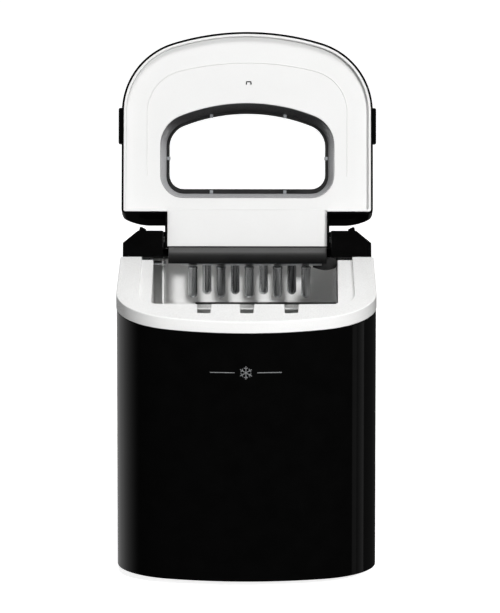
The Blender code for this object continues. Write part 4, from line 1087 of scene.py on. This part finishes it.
def front_point(x, z, proud):
    """A point on the bowed front, this far proud of it."""
    return Vector((x, FRONT_Y + BODY_PLAN.bow - sqrt(BODY_PLAN.bow**2 - x * x) - proud, z))


MARK_Z = 0.2035
MARK_HALF = 0.033
CRYSTAL = 0.0062


def front_mark():
    """A plain ornament on the front: a six-armed ice crystal between two thin lines."""
    line = 0.00045
    strokes = []
    for side in (-1, 1):
        points = [
            front_point(side * (0.0105 + (MARK_HALF - 0.0105) * i / 12), MARK_Z, 0.0) for i in range(13)
        ]
        strokes.append(tube(points, line, 0, 10))
    for i in range(6):
        angle = pi / 6 + pi / 3 * i
        along = Vector((cos(angle), sin(angle)))
        strokes.append(crystal_stroke(Vector((0, 0)), along * CRYSTAL, line))
        fork = along * CRYSTAL * 0.58
        for turn in (-pi / 3, pi / 3):
            branch = Vector((cos(angle + turn), sin(angle + turn))) * CRYSTAL * 0.34
            strokes.append(crystal_stroke(fork, fork + branch, line * 0.85))
    piece("front_mark", merged(*strokes), "silver_key")


def crystal_stroke(start, end, radius):
    return tube([front_point(p.x, MARK_Z + p.y, 0.0) for p in (start, end)], radius, 0, 10)


# ---------------------------------------------------------------- control panel
def control_panel():
    """The panel in the deck: a raised rim round each key, a tinted strip with four signs, the board."""
    sheet = tile(-0.0597, 0.0463, 0.0597, 0.1177, 0.0047, -0.0035, -0.0003)
    cuts = [tile(-0.0405, 0.0575, 0.0405, 0.0725, 0.003, -0.0022, 0.004)]
    rims = []
    for x in (-KEY_X, KEY_X):
        cuts.append(moved(rod(0.0083, (0, 0, -0.01), (0, 0, 0.01), 64), Matrix.Translation((x, KEY_Y, 0))))
        rims.append(
            moved(rod(0.0108, (0, 0, -0.001), (0, 0, 0.0004), 64, 0.01), Matrix.Translation((x, KEY_Y, 0)))
        )
    work = soften(carve(sheet, cuts, rims), 0.0003, 2, 50)
    piece("panel_moulding", on_deck(work), "gloss_black", "control_panel")
    strip = tile(-0.0402, 0.0578, 0.0402, 0.0722, 0.0027, -0.0019, -0.0004)
    piece("panel_strip", on_deck(soften(strip, 0.0003, 2, 50)), "dark_lens", "indicator_window")
    refine("control_board", "board", 0.0002, 1, "panel_board")
    for name, body, x in (("power", "power_key", KEY_X), ("select", "select_key", -KEY_X)):
        keycap(name, body, x)
    piece("panel_signs", on_deck(merged(*signs())), "white_abs")


KEY_X, KEY_Y = 0.028, 0.095


def keycap(name, body, x):
    """A dished round key with a sign on it."""
    profile = mm((0, -4.2), (7.9, -4.2), (7.9, 1.2), (7.4, 2), (6.6, 2.2))
    profile += mm((5, 1.8), (3, 1.5), (0, 1.4))
    key = turned(profile, (x, KEY_Y, 0), sides=64)
    piece(f"{name}_keycap", on_deck(key), "silver_key", f"{name}_button", body)
    if name == "power":
        ring = [
            (0.0025 * sin(a), 0.0025 * cos(a)) for a in (0.7 + i * (2 * pi - 1.4) / 20 for i in range(21))
        ]
        strokes = [[(px, -py) for px, py in ring], mm((0, -3), (0, -0.5))]
    else:
        strokes = [mm((-2.2, 0.8), (0, -1.4), (2.2, 0.8)), mm((-2.2, 2.4), (0, 0.2), (2.2, 2.4))]
    lines = [
        tube([(x + px, KEY_Y + py, 0.00165) for px, py in stroke], 0.00028, 0, 8) for stroke in strokes
    ]
    piece(f"{name}_sign", on_deck(merged(*lines)), "satin_black", body=body)


def signs():
    """Four plain signs on the strip: a small cube, a large cube, a drop and a full bin."""
    y, z, line = 0.065, -0.00035, 0.00022
    small = mm((-1.5, -1.5), (1.5, -1.5), (1.5, 1.5), (-1.5, 1.5))
    large = [(px * 1.7, py * 1.7) for px, py in small]
    drop = [(0.002 * sin(a), 0.0008 + 0.002 * cos(a)) for a in (pi * 0.75 * (i / 6 - 1) for i in range(13))]
    drop = [(0.0, -0.003)] + drop
    bin_line = mm((-2.8, -1.8), (-2, 2.2), (2, 2.2), (2.8, -1.8))
    made = []
    for x, points, closed in (
        (-0.03, small, True), (-0.01, large, True), (0.01, drop, True), (0.03, bin_line, False)
    ):
        made.append(tube([(x + px, y + py, z) for px, py in points], line, 0, 8, closed))
    made.append(tube([(0.03 - 0.0012, y - 0.001, z), (0.03 + 0.0012, y - 0.001, z)], line, 0, 8))
    return made


# ---------------------------------------------------------------- machine bay
def compressor():
    """The welded shell with its seam bead, foot plate, grommets with bolts, and terminal cover."""
    low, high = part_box("compressor")
    x, y = (low.x + high.x) / 2, (low.y + high.y) / 2
    radius, top, bottom = 0.051, high.z - 0.003, 0.034
    profile = [(0, high.z), (0.012, high.z - 0.0002)]
    profile += list(arc((radius - 0.022, top - 0.022), 0.022, pi * 0.47, 0, 12))
    profile += [
        (radius, 0.0985), (radius + 0.0008, 0.0978), (radius + 0.0012, 0.097), (radius + 0.0012, 0.0915)
    ]
    profile += [(radius + 0.0008, 0.0905), (radius, 0.0898)]
    profile += list(arc((radius - 0.018, bottom + 0.018), 0.018, 0, -pi / 2, 10)) + [(0, bottom)]
    shell = turned(profile, (x, y, 0), sides=96)
    piece("compressor_shell", shell, "compressor_paint", "compressor")
    plate = tile(x - 0.05, y - 0.05, x + 0.05, y + 0.05, 0.014, 0.031, 0.035)
    piece("compressor_foot", soften(plate, 0.0006), "compressor_paint")
    bolts = []
    for i in range(1, 4):
        node = f"compressor_grommet_{i}"
        low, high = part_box(node)
        place = ((low.x + high.x) / 2, (low.y + high.y) / 2, low.z)
        height = high.z - low.z
        shape = [(0, 0), (0.0086, 0), (0.009, 0.0006), (0.0088, height * 0.3), (0.0072, height * 0.42)]
        shape += [
            (0.0072, height * 0.52), (0.0082, height * 0.62), (0.0074, height - 0.0005), (0.0068, height),
            (0, height)
        ]
        piece(f"grommet_{i}", turned(shape, place, sides=40), "rubber", node)
        bolts.append(rod(0.0042, (place[0], place[1], 0.0351), (place[0], place[1], 0.0381), 6))
        bolts.append(rod(0.0062, (place[0], place[1], 0.035), (place[0], place[1], 0.0358), 32))
    piece("compressor_bolts", merged(*bolts), "steel")
    refine("terminal_cover", "satin_black", 0.001, 2, "terminal_cap")


def condenser():
    """A block of thin fins between two end plates, on copper tubes that turn back at each end."""
    low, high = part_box("condenser")
    fins = 38
    pitch = (high.x - low.x - 0.004) / (fins - 1)
    sheets = []
    for i in range(fins):
        x = low.x + 0.002 + i * pitch
        sheets.append(block((x - 0.0002, low.y, low.z + 0.001), (x + 0.0002, high.y, high.z - 0.001)))
    piece("condenser_fins", merged(*sheets), "aluminium_fins", "condenser")
    ends = []
    for x in (low.x, high.x - 0.001):
        ends.append(soften(block((x, low.y - 0.0004, low.z), (x + 0.001, high.y, high.z)), 0.0003, 1))
    piece("condenser_ends", merged(*ends), "galvanised")
    runs = []
    rows = [low.z + 0.012 + i * 0.02 for i in range(6)]
    for y in (low.y + 0.008, low.y + 0.02):
        path = []
        for i, z in enumerate(rows):
            run = [(low.x - 0.004, y, z), (high.x + 0.004, y, z)]
            path += run if i % 2 == 0 else run[::-1]
        runs.append(tube(path, 0.0024, 2, 12))
    piece("condenser_tubes", merged(*runs), "copper")


FAN_AXIS = Vector((0.06, 0.1, 0.104))
FAN_RADIUS = 0.038


def fan():
    """The shroud with its bell mouth, the motor on its arm, and five cambered blades on a domed hub."""
    x, y, z = FAN_AXIS
    low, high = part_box("fan_shroud")
    sheet = moved(tile(low.x, low.z, high.x, high.z, 0.006, -high.y, -low.y), UPRIGHT)
    work = carve(sheet, [rod(0.042, (x, 0.12, z), (x, 0.15, z), 96)])
    piece("shroud_sheet", soften(work, 0.0005, 2, 50), "satin_black", "fan_shroud")
    circle = [
        (x + 0.0428 * cos(a), low.y, z + 0.0428 * sin(a)) for a in (2 * pi * i / 72 for i in range(72))
    ]
    piece("shroud_mouth", tube(circle, 0.0012, 0, 12, True), "satin_black")
    case = mm((0, 0), (16.5, 0), (19, 2.5), (19, 12), (18.3, 12.5), (18.3, 14.5), (19, 15))
    case += mm((19, 27.5), (16.5, 30), (5.5, 30), (5, 33), (3, 33.5), (3, 37), (0, 37))
    motor = turned(case, (x, 0.062, z), (0, 1, 0), 64)
    piece("fan_motor_case", motor, "steel", "fan_motor")
    strut = soften(block((x - 0.006, 0.07, 0.01), (x + 0.006, 0.074, z - 0.017)), 0.0008)
    piece("fan_motor_arm", strut, "galvanised")
    hub = mm((0, 99.5), (11, 99.5), (11.5, 100), (11.5, 112.5), (10, 115.5), (6, 116.5), (0, 116.7))
    pieces = [turned([(r, h - y) for r, h in hub], FAN_AXIS, (0, 1, 0), 64)]
    for i in range(5):
        pieces.append(moved(fan_blade(), pose((x, 0.108, z), 2 * pi * i / 5, "Y")))
    piece("fan_wheel", merged(*pieces), "grey_plastic", "fan_blade", "fan")


def fan_blade():
    """One blade standing up from the hub: cambered, and twisted less towards its tip."""
    sections = []
    for i in range(9):
        share = i / 8
        chord = 0.018 + 0.009 * sin(share * pi * 0.7)
        pitch = radians(40 - 18 * share)
        outline = []
        for side in (1, -1):
            for k in range(9):
                along = (k / 8 if side > 0 else 1 - k / 8) - 0.5
                fullness = 1 - (2 * along) ** 2
                x, y = along * chord, 0.0007 * side * sqrt(max(fullness, 0.0)) + 0.0016 * fullness
                outline.append((x * cos(pitch) - y * sin(pitch), x * sin(pitch) + y * cos(pitch)))
        sections.append((outline, 0.009 + (FAN_RADIUS - 0.009) * share))
    work = lofted(sections)
    bmesh.ops.remove_doubles(work, verts=work.verts, dist=1e-6)
    return work


def lines():
    """The copper lines, the drier, the coil, the valve, and the soft hoses of the water side."""
    x, y = -0.054, 0.116
    top = 0.154
    discharge = [(x + 0.02, y - 0.02, top - 0.004), (x + 0.02, y - 0.02, 0.19), (x + 0.02, y + 0.03, 0.19)]
    discharge += [(0.02, y + 0.038, 0.19), (0.02, y + 0.038, 0.1665)]
    suction = mm((98.9, -2.8, 273), (105, -2.8, 273), (105, 75, 264))
    suction += [
        (0.095, 0.08, 0.24), (0.06, 0.075, 0.205), (x, y - 0.025, 0.205), (x, y - 0.025, top - 0.004)
    ]
    coil = []
    for i in range(73):
        angle = 2 * pi * i / 24
        coil.append((0.07 + 0.014 * cos(angle), 0.108 + 0.014 * sin(angle), 0.172 + 0.004 * i / 24))
    coil += mm((85, 125, 186), (85, 145, 170))
    hose = mm((100.4, 58, 35), (106, 58, 35), (106, 58, 250), (106, 42, 250))
    hose += [(0.0894, 0.042, 0.25)]
    drain = [(-0.0924, DRAIN.y, 0.058), (-0.099, DRAIN.y, 0.058), (-0.099, DRAIN.y, DRAIN.z)]
    drain += [(-0.1062, DRAIN.y, DRAIN.z)]
    for name, path, radius, smooth, slot, node in (
        ("discharge_copper", discharge, 0.0025, 3, "copper", "discharge_line"),
        ("suction_copper", suction, 0.003, 3, "copper", "suction_line"),
        ("capillary_copper", coil, 0.0012, 1, "copper", "capillary_tube"),
        ("pump_hose_soft", hose, 0.0032, 3, "hose", "pump_hose"),
        ("drain_hose_soft", drain, 0.0038, 3, "hose", "drain_pipe"),
    ):
        piece(name, tube(path, radius, smooth, 20), slot, node)
    profile = mm((0, 30), (2, 29.5), (3.2, 27), (6, 23.5), (8.2, 20.5), (8.5, 18.5))
    profile += mm((8.5, -18.5), (8.2, -20.5), (6, -23.5), (3.2, -27), (2, -29.5), (0, -30))
    drier = turned(profile, (0.085, 0.15, 0.201), sides=48)
    piece("drier_body", drier, "copper", "filter_drier")
    refine("hot_gas_valve", "grey_plastic", 0.0007, 2, "valve_coil")
    refine("water_pump", "grey_plastic", 0.0005, 2, "pump_case")


def floor_and_foam():
    refine("base_pan", "galvanised", 0.0004, 1, "base_pan_pressed")
    refine("foam_insulation", "foam", 0.001, 2, "foam_block")


# ---------------------------------------------------------------- floor, light and camera
def panel(name, material, width, height):
    """A flat sheet of the studio, which isn't part of the object."""
    mesh = bpy.data.meshes.new(name)
    corners = [(x * width / 2, y * height / 2, 0) for x, y in ((-1, -1), (1, -1), (1, 1), (-1, 1))]
    mesh.from_pydata(corners, [], [(0, 1, 2, 3)])
    mesh.materials.append(material)
    obj = placed(name, mesh)
    return obj


def floor_inputs(tree):
    return {
        "Base Color": tint(tree, noise(tree, 0.8, 2.0), (0.9, 0.9, 0.9), (0.93, 0.93, 0.93)),
        "Roughness": 0.9,
        "Specular IOR Level": 0.0,
        "Emission Color": (1.0, 1.0, 1.0, 1),
        "Emission Strength": FLOOR_GLOW,
    }


def floor():
    obj = panel("studio_floor", principled("studio_floor", floor_inputs), FLOOR_SIZE, FLOOR_SIZE)
    obj.visible_glossy = obj.visible_diffuse = False


def world():
    """An even pale dome; gloss sees a room that is dark in front and pale behind."""
    made = bpy.data.worlds.new("studio")
    bpy.context.scene.world = made
    made.use_nodes = True
    tree = made.node_tree
    dome = tree.nodes["Background"]
    fill(tree, dome, {"Color": (1.0, 1.0, 1.0, 1), "Strength": DOME_LIGHT})
    direction = add(tree, "TexCoord").outputs["Generated"]
    facing = add(tree, "VectorMath", {0: direction, 1: ROOM_TOWARDS}, operation="DOT_PRODUCT")
    ends = {
        "From Min": ROOM_FADE[0], "From Max": ROOM_FADE[1], "To Min": ROOM_LIGHT[0], "To Max": ROOM_LIGHT[1]
    }
    ends["Value"] = facing.outputs["Value"]
    fade = add(tree, "MapRange", ends, interpolation_type="SMOOTHSTEP")
    room = add(tree, "Background", {"Strength": fade.outputs["Result"]})
    path = add(tree, "LightPath").outputs["Is Glossy Ray"]
    mix = add(
        tree, "MixShader", {"Fac": path, 1: dome.outputs["Background"], 2: room.outputs["Background"]}
    )
    fill(tree, tree.nodes["World Output"], {"Surface": mix.outputs["Shader"]})


def aim(obj, place, towards, axis):
    obj.location = place
    obj.rotation_euler = (Vector(towards) - Vector(place)).to_track_quat(axis, "Y").to_euler()


def softbox(name, place, width, height, glow):
    """A lit panel that only shows in gloss."""
    made = bpy.data.materials.new(name)
    made.use_nodes = True
    tree = made.node_tree
    tree.nodes.clear()
    light = add(tree, "Emission", {"Strength": glow})
    add(tree, "OutputMaterial", {"Surface": light.outputs["Emission"]})
    obj = panel(name, made, width, height)
    aim(obj, place, SOFTBOX_AIM, "Z")
    obj.visible_camera = obj.visible_diffuse = obj.visible_shadow = obj.visible_transmission = False


def disk_light(name, place, size, power):
    data = bpy.data.lights.new(name, "AREA")
    data.shape = "DISK"
    data.size = size
    data.energy = power
    obj = placed(name, data)
    aim(obj, place, LIGHT_AIM, "-Z")
    obj.visible_camera = obj.visible_glossy = False


def camera():
    """A long lens, a little above the lid's foot, turned a hair to the object's left."""
    data = bpy.data.cameras.new("camera")
    data.lens = CAMERA_LENS
    data.sensor_width = 36.0
    data.shift_x = CAMERA_SHIFT
    data.clip_end = 100.0
    obj = placed("camera", data)
    yaw, rise = CAMERA_YAW, CAMERA_RISE
    back = Vector((sin(yaw) * cos(rise), -cos(yaw) * cos(rise), sin(rise)))
    obj.location = CAMERA_TARGET + CAMERA_DISTANCE * back
    obj.rotation_euler = (-back).to_track_quat("-Z", "Y").to_euler()
    bpy.context.scene.camera = obj


CAMERA_TARGET = Vector((0, 0, 0.23))
CAMERA_DISTANCE = 6.5
CAMERA_RISE = radians(11.28)
CAMERA_YAW = radians(0.34)
CAMERA_LENS = 404.44
CAMERA_SHIFT = 0.0048
DOME_LIGHT = 0.1
ROOM_LIGHT = (0.01, 0.55)  # what gloss sees in front, and behind
ROOM_TOWARDS = (0.0, 1.0, 0.25)
ROOM_FADE = (-0.15, 0.75)
FLOOR_GLOW = 0.85
FLOOR_SIZE = 60.0
LIGHT_AIM = (0, 0, 0.25)
SOFTBOX_AIM = (0, 0, 0.2)


def studio():
    bpy.context.scene.view_settings.view_transform = "Standard"
    floor()
    world()
    disk_light("key_light", (1.53, -3.44, 1.62), 0.5, 118)
    disk_light("top_light", (0, -1.41, 2.9), 1.5, 50)
    disk_light("fill_light", (-1.3, -2.2, 0.12), 1.4, 11)
    softbox("strip_right", (1.6, -0.15, 0.2), 0.25, 2.2, 0.13)
    softbox("panel_behind_left", (-1.5, 1.9, 0.2), 1.45, 3.0, 0.42)
    softbox("panel_behind_right", (1.7, 1.9, 0.2), 2.8, 3.0, 0.03)
    softbox("panel_overhead", (0, 0.9, 2.4), 1.6, 1.0, 0.6)
    camera()


# ---------------------------------------------------------------- assembly
def main():
    dress_nodes()
    casing()
    top_ring()
    rear_housing()
    lid_shell()
    lid_liner()
    lid_window()
    lid_pins()
    evaporator()
    evaporator_cover()
    water_tray()
    basket()
    tank()
    chute()
    sensors()
    tray_drive()
    rear_panel()
    gland()
    feet()
    drain_plug()
    front_mark()
    control_panel()
    compressor()
    condenser()
    fan()
    lines()
    floor_and_foam()
    studio()


main()
